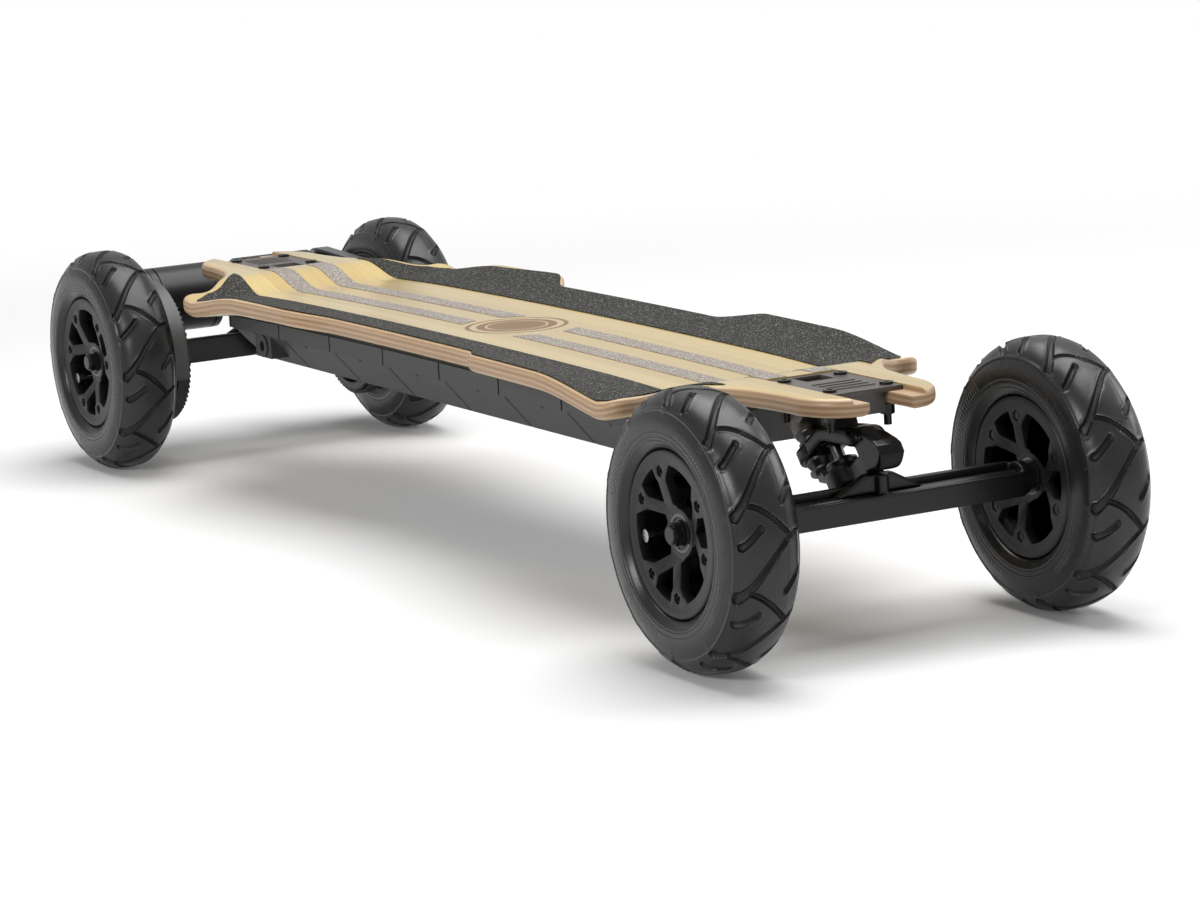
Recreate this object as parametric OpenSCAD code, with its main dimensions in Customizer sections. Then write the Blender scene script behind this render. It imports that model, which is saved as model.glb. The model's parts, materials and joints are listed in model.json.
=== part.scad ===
// Electric mountainboard: a bent wooden deck on two double-kingpin trucks with
// air tyres, a battery case under the deck and two belt-driven rear wheels.
// Millimetres. +X is the nose, +Y is left of the nose, +Z is up and z = 0 is the
// ground. The front and the rear are mirror images, apart from the drive.

/* [Wheels] */
// Distance between the two axles
wheelbase = 940; // [925:1:990]
// Distance between the middle planes of a pair of tyres
track = 254; // [250:1:270]
// Outside diameter of a tyre
tyre_d = 175; // [172:1:182]
// Widest part of a tyre
tyre_w = 50; // [48:1:53]
// Thickness of the tyre's tread and side walls
tyre_wall = 4.5; // [3.5:0.5:5.5]
// Diameter of the rim's bead seat
bead_d = 93; // [90:1:96]
// Width of the rim over its two lips
rim_w = 42; // [38:1:44]
// How far a rim lip stands above the bead seat
lip_h = 5; // [3:0.5:6]
// Thickness of the rim's drum and lips
rim_wall = 2.4; // [2:0.1:3.2]
// Diameter of the circle of rim bolts
bolt_circle_d = 78; // [76:1:79]
// Outside diameter of a wheel bearing
bearing_d = 24; // [22:1:28]
// Width of a wheel bearing
bearing_w = 6; // [5:0.5:8]

/* [Deck] */
// How far the deck's tips reach beyond the axles
tip_over = 19; // [16:0.5:25]
// Thickness of the laminated wood
deck_t = 12; // [10:0.5:13]
// Height of the end platforms' top above the axles
platform_up = 69; // [67:0.5:72]
// How far the middle of the deck lies below the platforms
middle_drop = 8.5; // [6:0.5:10]
// How far the foot of each slope lies below the platforms
well_drop = 11.5; // [9:0.5:14]
// Width of the deck at its waist
waist_w = 198; // [190:1:206]
// Width of the deck at its wings
wing_w = 234; // [226:1:240]
// Distance of a wing's end from the axle
wing_back = 126; // [120:1:134]
// Thickness of the grip sheets
grip_t = 0.8; // [0.6:0.1:1.2]
// Wood left bare along the edge of the grip
grip_border = 8; // [5:0.5:12]

/* [Trucks] */
// Tilt of both steering axes above the ground
truck_angle = 36; // [34:0.5:38]
// Steering angle of each pivot either way, in degrees
lean = 9; // [6:1:10]
// Deck pivot ring: how far inboard of the axle
ring_in = 68; // [67:0.5:70]
// Deck pivot ring: how far above the axle
ring_up = 22; // [21:0.5:24]
// Axle pivot ring: offset from the deck ring along the steering axis
ring_step_a = 19.7; // [19.5:0.1:20.5]
// Axle pivot ring: offset from the deck ring across the steering axis
ring_step_n = 32.4; // [32:0.1:33.2]
// Diameter of the pivot rings
ring_d = 28; // [26:0.5:28.5]
// Thickness of the pivot rings
ring_t = 9; // [8:0.5:10]
// Diameter of the bushings
bushing_d = 21; // [19:0.5:22]
// Diameter of the kingpins
kingpin_d = 8; // [7:0.5:8.5]
// Diameter of the pivot noses
nose_d = 11; // [10:0.5:12]
// How far the hanger bar's ends lie inside the tyres' middle planes
bar_inset = 25; // [24:0.5:28]
// Height of the hanger bar's front plate
bar_h = 15.5; // [14:0.5:17]
// Depth of the hanger bar, front to back
bar_depth = 23; // [21:0.5:25]
// Diameter of the axle
axle_d = 12; // [10:0.5:12]
// Spacing of the truck bolts along the board
plate_bolts_x = 53.4; // [52:0.2:55]
// Spacing of the truck bolts across the board
plate_bolts_y = 41.3; // [41:0.1:42.5]

/* [Battery case] */
// Length of the case
case_l = 636; // [600:2:650]
// Width of the case at its flange
case_w = 176; // [170:1:180]
// Width of the flat bottom
case_floor_w = 128; // [120:1:134]
// Height of the case floor above the axles
case_up = 12.5; // [10:0.5:14]
// Thickness of the case wall
case_wall = 2.5; // [2:0.1:3]
// Length of one case segment
segment_l = 90; // [80:1:100]
// Diameter of a battery cell
cell_d = 21; // [18:0.5:21]
// Length of a battery cell
cell_l = 70; // [65:0.5:70]
// Rows of cells along the case
cell_rows = 6; // [4:1:6]
// Cells in one row, side by side
cells_abreast = 5; // [4:1:5]

/* [Drive] */
// Teeth on a wheel pulley
wheel_teeth = 66; // [62:2:66]
// Teeth on a motor pulley
motor_teeth = 15; // [14:1:16]
// Belt pitch
belt_pitch = 5; // [5:0.05:5.1]
// Diameter of a motor
motor_d = 54; // [50:1:54]
// Distance of a motor's inner end from the board's middle
motor_in = 12; // [10:0.5:20]
// Motor shaft: how far behind the axle
motor_back = 60; // [59.5:0.5:60.5]
// Motor shaft: how far above the axle
motor_up = 34; // [33.5:0.5:36]

/* [Hidden] */
$fn = 64;
EPS = 0.01;
run_gap = 0.05;   // radial clearance of a turning fit
fit_gap = 0.02;   // radial clearance of a fixed fit
soft_gap = 0.3;   // clearance of soft and thin pieces
hex_fn = 6;

SIDES = ["left", "right"];
ENDS = ["front", "rear"];
WHEEL_PARTS = ["tyre", "tube", "outer_rim", "inner_rim", "bearings", "rim_bolts"];
TRUCK_PARTS = ["baseplate", "deck_kingpin", "deck_bushings", "link",
               "axle_kingpin", "hanger", "axle_bushings", "axle"];

axle_x = wheelbase / 2;
axle_z = tyre_d / 2;
axle_r = axle_d / 2;

// Deck
platform_z = axle_z + platform_up;
middle_z = platform_z - middle_drop;
well_z = platform_z - well_drop;
tip_x = axle_x + tip_over;
wing_x = axle_x - wing_back;
well_x = axle_x - 150;         // foot of the slope
shoulder_x = axle_x - 99;      // head of the slope
flat_y = 35;                   // half of the strip that has no cross bend
cross_bend = 0.0017;           // rise per square millimetre beyond flat_y
bend_fade = [axle_x - 190, axle_x - 50];   // the cross bend fades out between these
waist_x = [110, 155];          // the waist widens to the wing between these
prong_x = tip_x - 39;          // where a prong starts to round off
prong_y = 48;
tip_y = 20;

// Slot for the truck, its ledge and the plate that lies on it
slot_in = axle_x - 77.5;
slot_y = 15.5;
ledge_depth = 3.5;
ledge_x = [axle_x - 85, tip_x + 5];
ledge_y = 26.3;
plate_x = [axle_x - 82, axle_x - 8];
plate_y = ledge_y - soft_gap;
plate_low = 0.5;                // the plate's top below the deck's
plate_mid_x = axle_x - 45;
window_x = [plate_x[0] + 2, plate_x[0] + 21];
window_y = 10.5;
bolt_l = 25.5;
plate_bolt_d = 5;

// Tilted frame of the trucks: a runs up along the steering axis, n across it
ring_x = axle_x - ring_in;
ring_z = axle_z + ring_up;
bushing_h = 8;
washer_t = 1.5;
nut_h = 5.5;
pin_tail = 0.6;                // a pin's end beyond its nut
pin_up = 23;                   // how far the deck pin reaches into its boss
pin_r = kingpin_d / 2;
nose_r = nose_d / 2;
socket_wall = 3;
stack_n = ring_t / 2 + bushing_h + washer_t;   // ring middle to a washer's outer face
rock_gap = stack_n * sin(lean) + soft_gap;     // room for a washer to rock
cheek_y = [9.8, 13.8];
cap_y = 9;
socket_a = [28, 41];
nose_a = [22, 38];

// Hanger
bar_w = track - 2 * bar_inset;
bar_back = bar_depth / 2 + 0.5;
bar_front = bar_depth / 2 - 0.5;
bar_low = 10;
rib_up = 10;
bar_wall = 4;
boss_out = 6;                 // a boss beyond the bar's end
axle_l = 2 * (track / 2 + 22);
hub_face = 14.5;              // a hub's face from the tyre's middle plane
hub_in = track / 2 - hub_face;    // inner face of a wheel hub
hub_out = track / 2 + hub_face;   // outer face of a wheel hub

// Wheels: z runs outwards from the tyre's middle plane
tyre_r = tyre_d / 2;
bead_r = bead_d / 2;
rim_half = rim_w / 2;
drum_r = bead_r - rim_wall;
bolt_ring_r = bolt_circle_d / 2;
hub_r = bearing_d / 2 + 3;
ring_face = rim_half - 0.6;   // face of the ring round the spokes
spoke_t = 7;
window_r = bolt_ring_r + 3.5;
valve_r = 2.6;
valve_at = [37.5, 180, 6];    // radius, turn and height of the valve's knee
WHEEL_TURNS = [0, 10, 40, 27];   // how far each wheel has rolled

// Belt drive: y is measured from the board's middle plane
pulley_y = [track / 2 - 46, track / 2 - 33];
belt_y = [pulley_y[0] + 3, pulley_y[1] - 1];
guard_y = [track / 2 - 41.5, track / 2 - 30.4];
guard_t = 1.6;
mount_y = [track / 2 - 56.5, track / 2 - 50];
wheel_pulley_r = wheel_teeth * belt_pitch / (2 * PI) - 0.57;
motor_pulley_r = motor_teeth * belt_pitch / (2 * PI) - 0.57;
belt_gap = 0.4;
belt_t = 2.2;
guard_gap = 2;
guard_wall = 2.2;
motor_x = -axle_x - motor_back;
motor_z = axle_z + motor_up;
motor_r = motor_d / 2;
motor_l = mount_y[0] - 0.5 - motor_in;

// Case
case_z = axle_z + case_up;
flange_h = 7.5;
gasket_t = 3.5;
case_half = case_l / 2;
flange_z = middle_z - deck_t - gasket_t;

// Height of the deck's top above the ground
function smooth(t) = t <= 0 ? 0 : t >= 1 ? 1 : t * t * (3 - 2 * t);
function centre_line(x) =
    x <= well_x ? middle_z - (middle_z - well_z) * pow(x / well_x, 2)
                : well_z + (platform_z - well_z) * smooth((x - well_x) / (shoulder_x - well_x));
function bend_at(x) =
    cross_bend * (1 - smooth((x - bend_fade[0]) / (bend_fade[1] - bend_fade[0])));
function deck_top(x, y) =
    centre_line(abs(x)) + bend_at(abs(x)) * pow(max(0, abs(y) - flat_y), 2);

// Stations of the deck's surface, closer together where it bends
half_x = concat([for (i = [0 : 6]) i * well_x / 7],
                [for (i = [0 : 8]) well_x - 12 + i * (shoulder_x - well_x + 20) / 8],
                [tip_x - 30, tip_x + 6]);
stations_x = concat([for (i = [len(half_x) - 1 : -1 : 1]) -half_x[i]], half_x);
half_y = [for (i = [0 : 5]) flat_y + i * (wing_w / 2 + 5 - flat_y) / 5];
stations_y = concat([for (i = [len(half_y) - 1 : -1 : 0]) -half_y[i]], half_y);

// A bent sheet between two heights measured from the deck's top
module bent_sheet(low, high) {
    nx = len(stations_x);
    ny = len(stations_y);
    function at(i, j, k) = k * nx * ny + i * ny + j;
    points = [for (h = [low, high]) for (x = stations_x) for (y = stations_y)
        [x, y, deck_top(x, y) + h]];
    skins = [for (i = [0 : nx - 2]) for (j = [0 : ny - 2]) each [
        [at(i, j, 1), at(i, j + 1, 1), at(i + 1, j + 1, 1)],
        [at(i, j, 1), at(i + 1, j + 1, 1), at(i + 1, j, 1)],
        [at(i, j, 0), at(i + 1, j + 1, 0), at(i, j + 1, 0)],
        [at(i, j, 0), at(i + 1, j, 0), at(i + 1, j + 1, 0)]]];
    ends = [for (j = [0 : ny - 2]) each [
        [at(0, j, 0), at(0, j + 1, 0), at(0, j + 1, 1), at(0, j, 1)],
        [at(nx - 1, j, 1), at(nx - 1, j + 1, 1), at(nx - 1, j + 1, 0), at(nx - 1, j, 0)]]];
    edges = [for (i = [0 : nx - 2]) each [
        [at(i, 0, 1), at(i + 1, 0, 1), at(i + 1, 0, 0), at(i, 0, 0)],
        [at(i, ny - 1, 0), at(i + 1, ny - 1, 0), at(i + 1, ny - 1, 1), at(i, ny - 1, 1)]]];
    polyhedron(points, concat(skins, ends, edges));
}

// Outline of the deck, one quarter at a time
function curve4(a, b, c, d, t) =
    pow(1 - t, 3) * a + 3 * t * pow(1 - t, 2) * b + 3 * t * t * (1 - t) * c + pow(t, 3) * d;
neck = [axle_x - 74, 56.5];
corner_r = 9;
quarter = concat(
    [for (t = [0 : 0.2 : 1]) [waist_x[0] + t * (waist_x[1] - waist_x[0]),
        waist_w / 2 + (wing_w - waist_w) / 2 * smooth(t)]],
    [for (g = [90 : -22 : 0]) [wing_x - corner_r + corner_r * cos(g),
        wing_w / 2 - corner_r + corner_r * sin(g)]],
    [for (t = [0.12 : 0.16 : 1]) curve4([wing_x, wing_w / 2 - 12], [wing_x - 15, 86],
        [wing_x - 2, 84], [wing_x + 24, 73], t)],
    [for (t = [0.25 : 0.25 : 1]) curve4([wing_x + 24, 73], [wing_x + 34, 67],
        [neck[0] - 8, neck[1] + 2], neck, t)],
    [[prong_x - 24, prong_y + 4]],
    [for (g = [0 : 15 : 90]) [prong_x + (tip_x - prong_x) * sin(g),
        tip_y + (prong_y - tip_y) * cos(g)]]);
function mirrored(points, sx, sy) = [for (p = points) [sx * p[0], sy * p[1]]];
function backwards(points) = [for (i = [len(points) - 1 : -1 : 0]) points[i]];

module deck_outline() {
    polygon(concat(quarter, mirrored(backwards(quarter), 1, -1),
                   mirrored(quarter, -1, -1), mirrored(backwards(quarter), -1, 1)));
}

// The same thing at both ends, or on both sides
module both_ends() {
    for (m = [0, 1]) mirror([m, 0, 0]) children();
}
module both_sides() {
    for (m = [0, 1]) mirror([0, m, 0]) children();
}
module block(x, y, z) {
    translate([x[0], y[0], z[0]]) cube([x[1] - x[0], y[1] - y[0], z[1] - z[0]]);
}
// A flat outline in x and z, drawn out from y0 to y1
module side_cut(y0, y1) {
    translate([0, y1, 0]) rotate([90, 0, 0]) linear_extrude(y1 - y0) children();
}
module ring(r_out, r_in, h) {
    difference() {
        cylinder(r = r_out, h = h);
        translate([0, 0, -1]) cylinder(r = r_in, h = h + 2);
    }
}

module plate_bolt_places() {
    for (x = [-1, 1], y = [-1, 1])
        translate([plate_mid_x + x * plate_bolts_x / 2, y * plate_bolts_y / 2, 0]) children();
}
screw_x = [for (i = [-3 : 3]) i * (segment_l + 4)];
screw_y = case_w / 2 - 3.6;
screw_r = 1.5;
screw_bite = 7;
module case_screw_places() {
    for (x = screw_x) both_sides() translate([x, screw_y, 0]) children();
}

module deck() {
    color("burlywood") difference() {
        intersection() {
            bent_sheet(-deck_t, 0);
            linear_extrude(platform_z + 20) deck_outline();
        }
        both_ends() {
            block([slot_in, tip_x + 10], [-slot_y, slot_y], [well_z - deck_t - 10, platform_z + 10]);
            block([ledge_x[0], ledge_x[1]], [-ledge_y, ledge_y],
                  [platform_z - ledge_depth, platform_z + 10]);
            plate_bolt_places() cylinder(d = plate_bolt_d + 0.4, h = platform_z + 10);
        }
        for (x = screw_x) both_sides()
            translate([x, screw_y, deck_top(x, screw_y) - deck_t - 5])
                cylinder(r = screw_r + fit_gap, h = 5 + screw_bite + 0.5);
    }
}

// Black grip on both rails, drawn in towards each end
grip_end = axle_x - 88;
module grip_tape() {
    color("dimgray") intersection() {
        bent_sheet(0, grip_t);
        linear_extrude(platform_z + 20) intersection() {
            offset(delta = -grip_border) deck_outline();
            both_sides() polygon([
                [-well_x, 60], [well_x, 60], [grip_end, 54], [wing_x + 8, 84],
                [wing_x, wing_w / 2 + 5], [-wing_x, wing_w / 2 + 5], [-wing_x - 8, 84],
                [-grip_end, 54]]);
        }
    }
}

// Pale grit stripes on the bare wood, broken in the middle
stripe_y = [10, 26];
stripe_x = [48, ledge_x[0] - 1];
module grit_stripes() {
    color("rosybrown") intersection() {
        bent_sheet(0, grip_t / 2);
        linear_extrude(platform_z + 20) both_ends() both_sides()
            polygon([[stripe_x[0], stripe_y[0]], [stripe_x[1], stripe_y[0]],
                     [stripe_x[1], stripe_y[1]], [stripe_x[0] - 8, stripe_y[1]]]);
    }
}

// Battery case: outline across the board, from its floor to above the deck
band_w = 3;
module case_section(inset) {
    polygon([for (s = [1, -1], p = s > 0
        ? [[case_floor_w / 2 - inset, case_z + inset],
           [case_w / 2 - band_w - inset, flange_z - flange_h + inset * 0.4],
           [case_w / 2 - inset, flange_z - flange_h + inset * 0.4],
           [case_w / 2 - inset, platform_z]]
        : [[case_w / 2 - inset, platform_z],
           [case_w / 2 - inset, flange_z - flange_h + inset * 0.4],
           [case_w / 2 - band_w - inset, flange_z - flange_h + inset * 0.4],
           [case_floor_w / 2 - inset, case_z + inset]])
        [s * p[0], p[1]]]);
}
module along_x(x0, x1) {
    translate([x0, 0, 0]) rotate([90, 0, 90]) linear_extrude(x1 - x0) children();
}
groove_w = 2;
groove_depth = 1.2;
end_slope = 12;
// Housing of the charging socket, on the right near the rear
port_x = -case_half + 53.5;
port_z = case_z + 15.2;
port_box = [[port_x - 14, port_x + 14], [-case_w / 2 + band_w + 1, -case_w / 2 + 22],
            [case_z + 6.5, case_z + 24]];
port_r = 4;
port_body_r = 7;
port_flange_r = 8.5;
button_y = 34;
button_z = case_z + 14;
button_r = 6;
tray_post_r = 3.4;
module case_tray() {
    color("dimgray") difference() {
        union() {
            difference() {
                intersection() {
                    along_x(-case_half, case_half) case_section(0);
                    side_cut(-case_w, case_w) polygon([
                        [-case_half + end_slope, case_z], [case_half - end_slope, case_z],
                        [case_half, flange_z - flange_h], [case_half, platform_z],
                        [-case_half, platform_z], [-case_half, flange_z - flange_h]]);
                }
                intersection() {
                    along_x(-case_half + end_slope + case_wall, case_half - end_slope - case_wall)
                        case_section(case_wall);
                    block([-case_half, case_half], [-case_w / 2 + 8, case_w / 2 - 8],
                          [case_z + case_wall, platform_z]);
                }
                for (i = [-3.5 : 3.5]) translate([i * segment_l, 0, 0]) difference() {
                    along_x(-groove_w / 2, groove_w / 2) case_section(-5);
                    along_x(-groove_w, groove_w) case_section(groove_depth);
                }
            }
            translate([-case_half + 34, -30, case_z - 4]) cylinder(r1 = 4, r2 = 5.5, h = 4 + EPS);
            block(port_box[0], port_box[1], port_box[2]);
        }
        bent_sheet(-deck_t - gasket_t, 40);
        case_screw_places() cylinder(r = screw_r + 0.1, h = platform_z);
        case_screw_places() cylinder(r = 2.8, h = flange_z - flange_h + 3);
        translate([port_x, port_box[1][0] - 1, port_z]) rotate([-90, 0, 0])
            cylinder(r = port_body_r + fit_gap, h = case_w / 4);
        translate([-case_half - 5, button_y, button_z]) rotate([0, 90, 0])
            cylinder(r = button_r + 0.4, h = 40);
    }
}

module case_gasket() {
    color("black") intersection() {
        bent_sheet(-deck_t - gasket_t, -deck_t);
        difference() {
            block([-case_half + 2, case_half - 2], [-case_w / 2 + 1.2, case_w / 2 - 1.2], [0, platform_z]);
            block([-case_half + 8, case_half - 8], [-case_w / 2 + 7.6, case_w / 2 - 7.6], [-1, platform_z + 1]);
            case_screw_places() cylinder(r = screw_r + 0.1, h = platform_z);
        }
    }
}

module case_screws() {
    color("silver") for (x = screw_x) both_sides()
        translate([x, screw_y, 0]) {
            top = deck_top(x, screw_y) - deck_t + screw_bite;
            seat = flange_z - flange_h + 3;
            translate([0, 0, seat - 1.8]) cylinder(r = 2.6, h = 1.8);
            translate([0, 0, seat - EPS]) cylinder(r = screw_r, h = top - seat + EPS);
        }
}

// Cells in rows, lying along the board
cell_pitch = cell_d + 0.6;
row_pitch = cell_l + 1;
cells_front_x = case_half - end_slope - case_wall - 6;
cells_back_x = cells_front_x - cell_rows * row_pitch;
cell_z = case_z + case_wall + soft_gap + cell_d / 2;
module battery_cells() {
    color("mediumseagreen") for (i = [0 : cell_rows - 1], j = [0 : cells_abreast - 1])
        translate([cells_back_x + i * row_pitch, (j - (cells_abreast - 1) / 2) * cell_pitch, cell_z])
            rotate([0, 90, 0]) {
                cylinder(d = cell_d, h = cell_l - 1.8);
                translate([0, 0, cell_l - 1.8 - EPS]) cylinder(d = cell_d * 0.6, h = 1.8);
            }
}

board_t = 1.6;
monitor_x = [cells_back_x - 55, cells_back_x - 3];
board_seat = case_z + case_wall;
module battery_monitor() {
    color("green") {
        block(monitor_x, [-40, 40], [board_seat + 4, board_seat + 4 + board_t]);
        for (x = [monitor_x[0] + 5, monitor_x[1] - 5], y = [-34, 34])
            translate([x, y, board_seat]) cylinder(r = 3, h = 4 + EPS);
        for (i = [0 : 5])
            translate([monitor_x[0] + 8 + i * 6.5, -18, board_seat + 4 + board_t - EPS]) cube([4.5, 6.5, 2.4]);
        translate([monitor_x[0] + 12, 6, board_seat + 4 + board_t - EPS]) cube([24, 14, 5]);
    }
}

controller_x = [-case_half + 42, monitor_x[0] - 4];
module motor_controller() {
    color("darkslategray") difference() {
        union() {
            block(controller_x, [-46, 46], [board_seat, board_seat + 5]);
            block([controller_x[0], controller_x[1]], [-44, 44], [board_seat + 5 - EPS, board_seat + 17]);
        }
        for (y = [-38 : 6 : 38])
            block([controller_x[0] + 6, controller_x[1] - 6], [y - 1.6, y + 1.6],
                  [board_seat + 11, board_seat + 18]);
    }
}

port_l = 24;
port_depth = 10;
port_lip = 1.2;
module charge_port() {
    color("gray") translate([port_x, port_box[1][0], port_z]) rotate([-90, 0, 0]) difference() {
        union() {
            translate([0, 0, -port_lip]) cylinder(r = port_body_r, h = port_l);
            translate([0, 0, -port_lip]) cylinder(r = port_flange_r, h = port_lip);
            translate([0, 0, port_box[1][1] - port_box[1][0] + 1]) cylinder(r = port_flange_r, h = 3);
        }
        translate([0, 0, -port_lip - 1]) cylinder(r = port_r, h = port_depth + 1);
    }
}

button_travel = 1.5;
module power_button() {
    color("crimson") translate([-case_half + end_slope - 7.5, button_y, button_z]) rotate([0, 90, 0]) {
        cylinder(r = button_r, h = 12);
        translate([0, 0, 7.5 + case_wall + soft_gap]) cylinder(r = button_r + 2, h = 2);
    }
}

// Trucks
// The tilted frame at the deck pivot ring of the front truck
module tilt() {
    translate([ring_x, 0, ring_z]) rotate([0, -truck_angle, 0]) children();
}
// The same frame at the axle pivot ring
module tilt_low() {
    tilt() translate([ring_step_a, 0, -ring_step_n]) children();
}
module along_a(a0, a1, r) {
    translate([a0, 0, 0]) rotate([0, 90, 0]) cylinder(r = r, h = a1 - a0);
}

// Base plate: lies in the deck's ledge, its body hangs down through the slot
boss_r = 11;
neck_low = platform_z - 17;
module front_baseplate() {
    color("dimgray") difference() {
        union() {
            block(plate_x, [-plate_y, plate_y], [platform_z - ledge_depth, platform_z - plate_low]);
            block([slot_in + soft_gap, plate_x[1] - 4], [-slot_y + soft_gap, slot_y - soft_gap],
                  [neck_low, platform_z - ledge_depth + EPS]);
            side_cut(-boss_r, boss_r) polygon([
                [slot_in - 7, platform_z - 28], [slot_in + 6, platform_z - 28],
                [slot_in + 12, neck_low - 4], [slot_in + 12, neck_low + 3],
                [slot_in + soft_gap, neck_low + 3], [slot_in + soft_gap, platform_z - 18.6],
                [slot_in - 7, platform_z - 18.6]]);
            intersection() {
                tilt() translate([0, 0, stack_n]) cylinder(r = boss_r, h = pin_up);
                block([0, axle_x], [-30, 30], [0, platform_z - 23]);
            }
            intersection() {
                tilt() union() {
                    along_a(socket_a[0], socket_a[1], nose_r + socket_wall);
                    block(socket_a, [-7.5, 7.5], [0, 30]);
                }
                block([0, axle_x], [-30, 30], [0, platform_z - ledge_depth]);
            }
            for (x = [-8 : 8 : 16])
                translate([plate_mid_x + x + 6, 0, platform_z - plate_low - EPS])
                    block([-1.2, 1.2], [-15, 15], [0, 0.6]);
        }
        block(window_x, [-window_y, window_y], [platform_z - 14, platform_z + 10]);
        tilt() along_a(socket_a[0] - 1, nose_a[1] + 0.6, nose_r + run_gap);
        tilt() cylinder(r = pin_r + fit_gap, h = pin_up + soft_gap);
        plate_bolt_places() cylinder(d = plate_bolt_d + 0.2, h = platform_z + 10);
    }
}

// Bolts of both base plates, with their nuts under the deck
bolt_washer_r = 5;
plate_nut_h = 6;
module truck_bolts() {
    bolt_top = platform_z - plate_low;
    color("silver") both_ends() plate_bolt_places() {
        translate([0, 0, bolt_top]) difference() {
            cylinder(r = 4.4, h = 1.6);
            translate([0, 0, 0.6]) cylinder(r = 2, h = 2, $fn = hex_fn);
        }
        translate([0, 0, bolt_top - bolt_l]) cylinder(d = plate_bolt_d, h = bolt_l + EPS);
    }
    color("silver") both_ends() for (x = [-1, 1], y = [-1, 1]) {
        bolt_x = plate_mid_x + x * plate_bolts_x / 2;
        seat_z = deck_top(bolt_x - bolt_washer_r, 0) - deck_t - soft_gap / 2;
        translate([bolt_x, y * plate_bolts_y / 2, seat_z - 1]) {
            ring(bolt_washer_r, plate_bolt_d / 2 - EPS, 1);
            translate([0, 0, -plate_nut_h]) difference() {
                cylinder(r = 4.6, h = plate_nut_h + EPS, $fn = hex_fn);
                translate([0, 0, -1]) cylinder(d = plate_bolt_d - EPS, h = plate_nut_h + 2);
            }
        }
    }
}

// A kingpin with the washers and nut that hold its two bushings
module kingpin(top_n) {
    color("gray") {
        translate([0, 0, -stack_n - nut_h - pin_tail])
            cylinder(r = pin_r, h = stack_n + nut_h + pin_tail + top_n);
        translate([0, 0, stack_n - washer_t]) ring(bushing_d / 2, pin_r - EPS, washer_t);
        translate([0, 0, -stack_n]) ring(bushing_d / 2, pin_r - EPS, washer_t);
        translate([0, 0, -stack_n - nut_h]) difference() {
            cylinder(r = pin_r * 1.75, h = nut_h, $fn = hex_fn);
            translate([0, 0, -1]) cylinder(r = pin_r - EPS, h = nut_h + 2);
        }
    }
}
module front_deck_kingpin() { tilt() kingpin(pin_up); }

// Upper bushing a barrel, lower bushing a cone, both round a kingpin
module bushings() {
    r = bushing_d / 2;
    color("black") {
        rotate_extrude() polygon([[pin_r + 0.1, ring_t / 2], [r, ring_t / 2], [r, ring_t / 2 + bushing_h * 0.4],
            [r * 0.86, ring_t / 2 + bushing_h * 0.5], [r * 0.86, ring_t / 2 + bushing_h * 0.6],
            [r * 0.95, ring_t / 2 + bushing_h], [pin_r + 0.1, ring_t / 2 + bushing_h]]);
        rotate_extrude() polygon([[pin_r + 0.1, -ring_t / 2], [r, -ring_t / 2],
            [r, -ring_t / 2 - bushing_h * 0.35], [r * 0.78, -ring_t / 2 - bushing_h],
            [pin_r + 0.1, -ring_t / 2 - bushing_h]]);
    }
}
module front_deck_bushings() { tilt() bushings(); }

// Link: rocks on the deck kingpin, carries the axle kingpin and the capped socket
bore_r = pin_r + 2;
link_head_r = socket_a[0] - ring_step_a - 0.4;   // its head stays clear of the socket
head_n = [-5, 6.5];
cap_a = 52.7;
module link_side(points) {
    rotate([90, 0, 0]) linear_extrude(2 * cheek_y[1], center = true) polygon(points);
}
module front_link() {
    low_n = -ring_step_n;
    color("dimgray") tilt() difference() {
        union() {
            translate([0, 0, -ring_t / 2]) cylinder(d = ring_d, h = ring_t);
            block([0, ring_step_a], [-ring_d / 2 + 2, ring_d / 2 - 2], [-ring_t / 2, ring_t / 2]);
            translate([ring_step_a, 0, head_n[0]]) cylinder(r = link_head_r, h = head_n[1] - head_n[0]);
            along_a(nose_a[0], nose_a[1], nose_r);
            // two cheeks that pass the socket on either side
            difference() {
                link_side([[8, -4.5], [8, 4.5], [26, 4.5], [57.2, -13], [62, -24], [cap_a, -24],
                           [44, -18], [34, -10.5], [26, -4.5]]);
                block([14, 48], [-cheek_y[0], cheek_y[0]], [-40, 40]);
            }
            // the cap
            rotate([90, 0, 0]) linear_extrude(2 * cap_y, center = true) polygon([
                [48, -7.9], [57.2, -13], [73, -31], [76, -36], [75.6, -42], [72, -47], [66, -48.5],
                [cap_a, -41.6], [cap_a, -23.5], [48, -20.7]]);
        }
        translate([0, 0, -30]) cylinder(r = bore_r, h = 60);
        translate([ring_step_a, 0, -30]) cylinder(r = pin_r + fit_gap, h = 60);
        translate([0, 0, low_n]) along_a(cap_a - 10, cap_a + 12.6, nose_r + run_gap);
    }
}
module front_axle_kingpin() { tilt_low() kingpin(ring_step_n + head_n[1]); }

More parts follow.
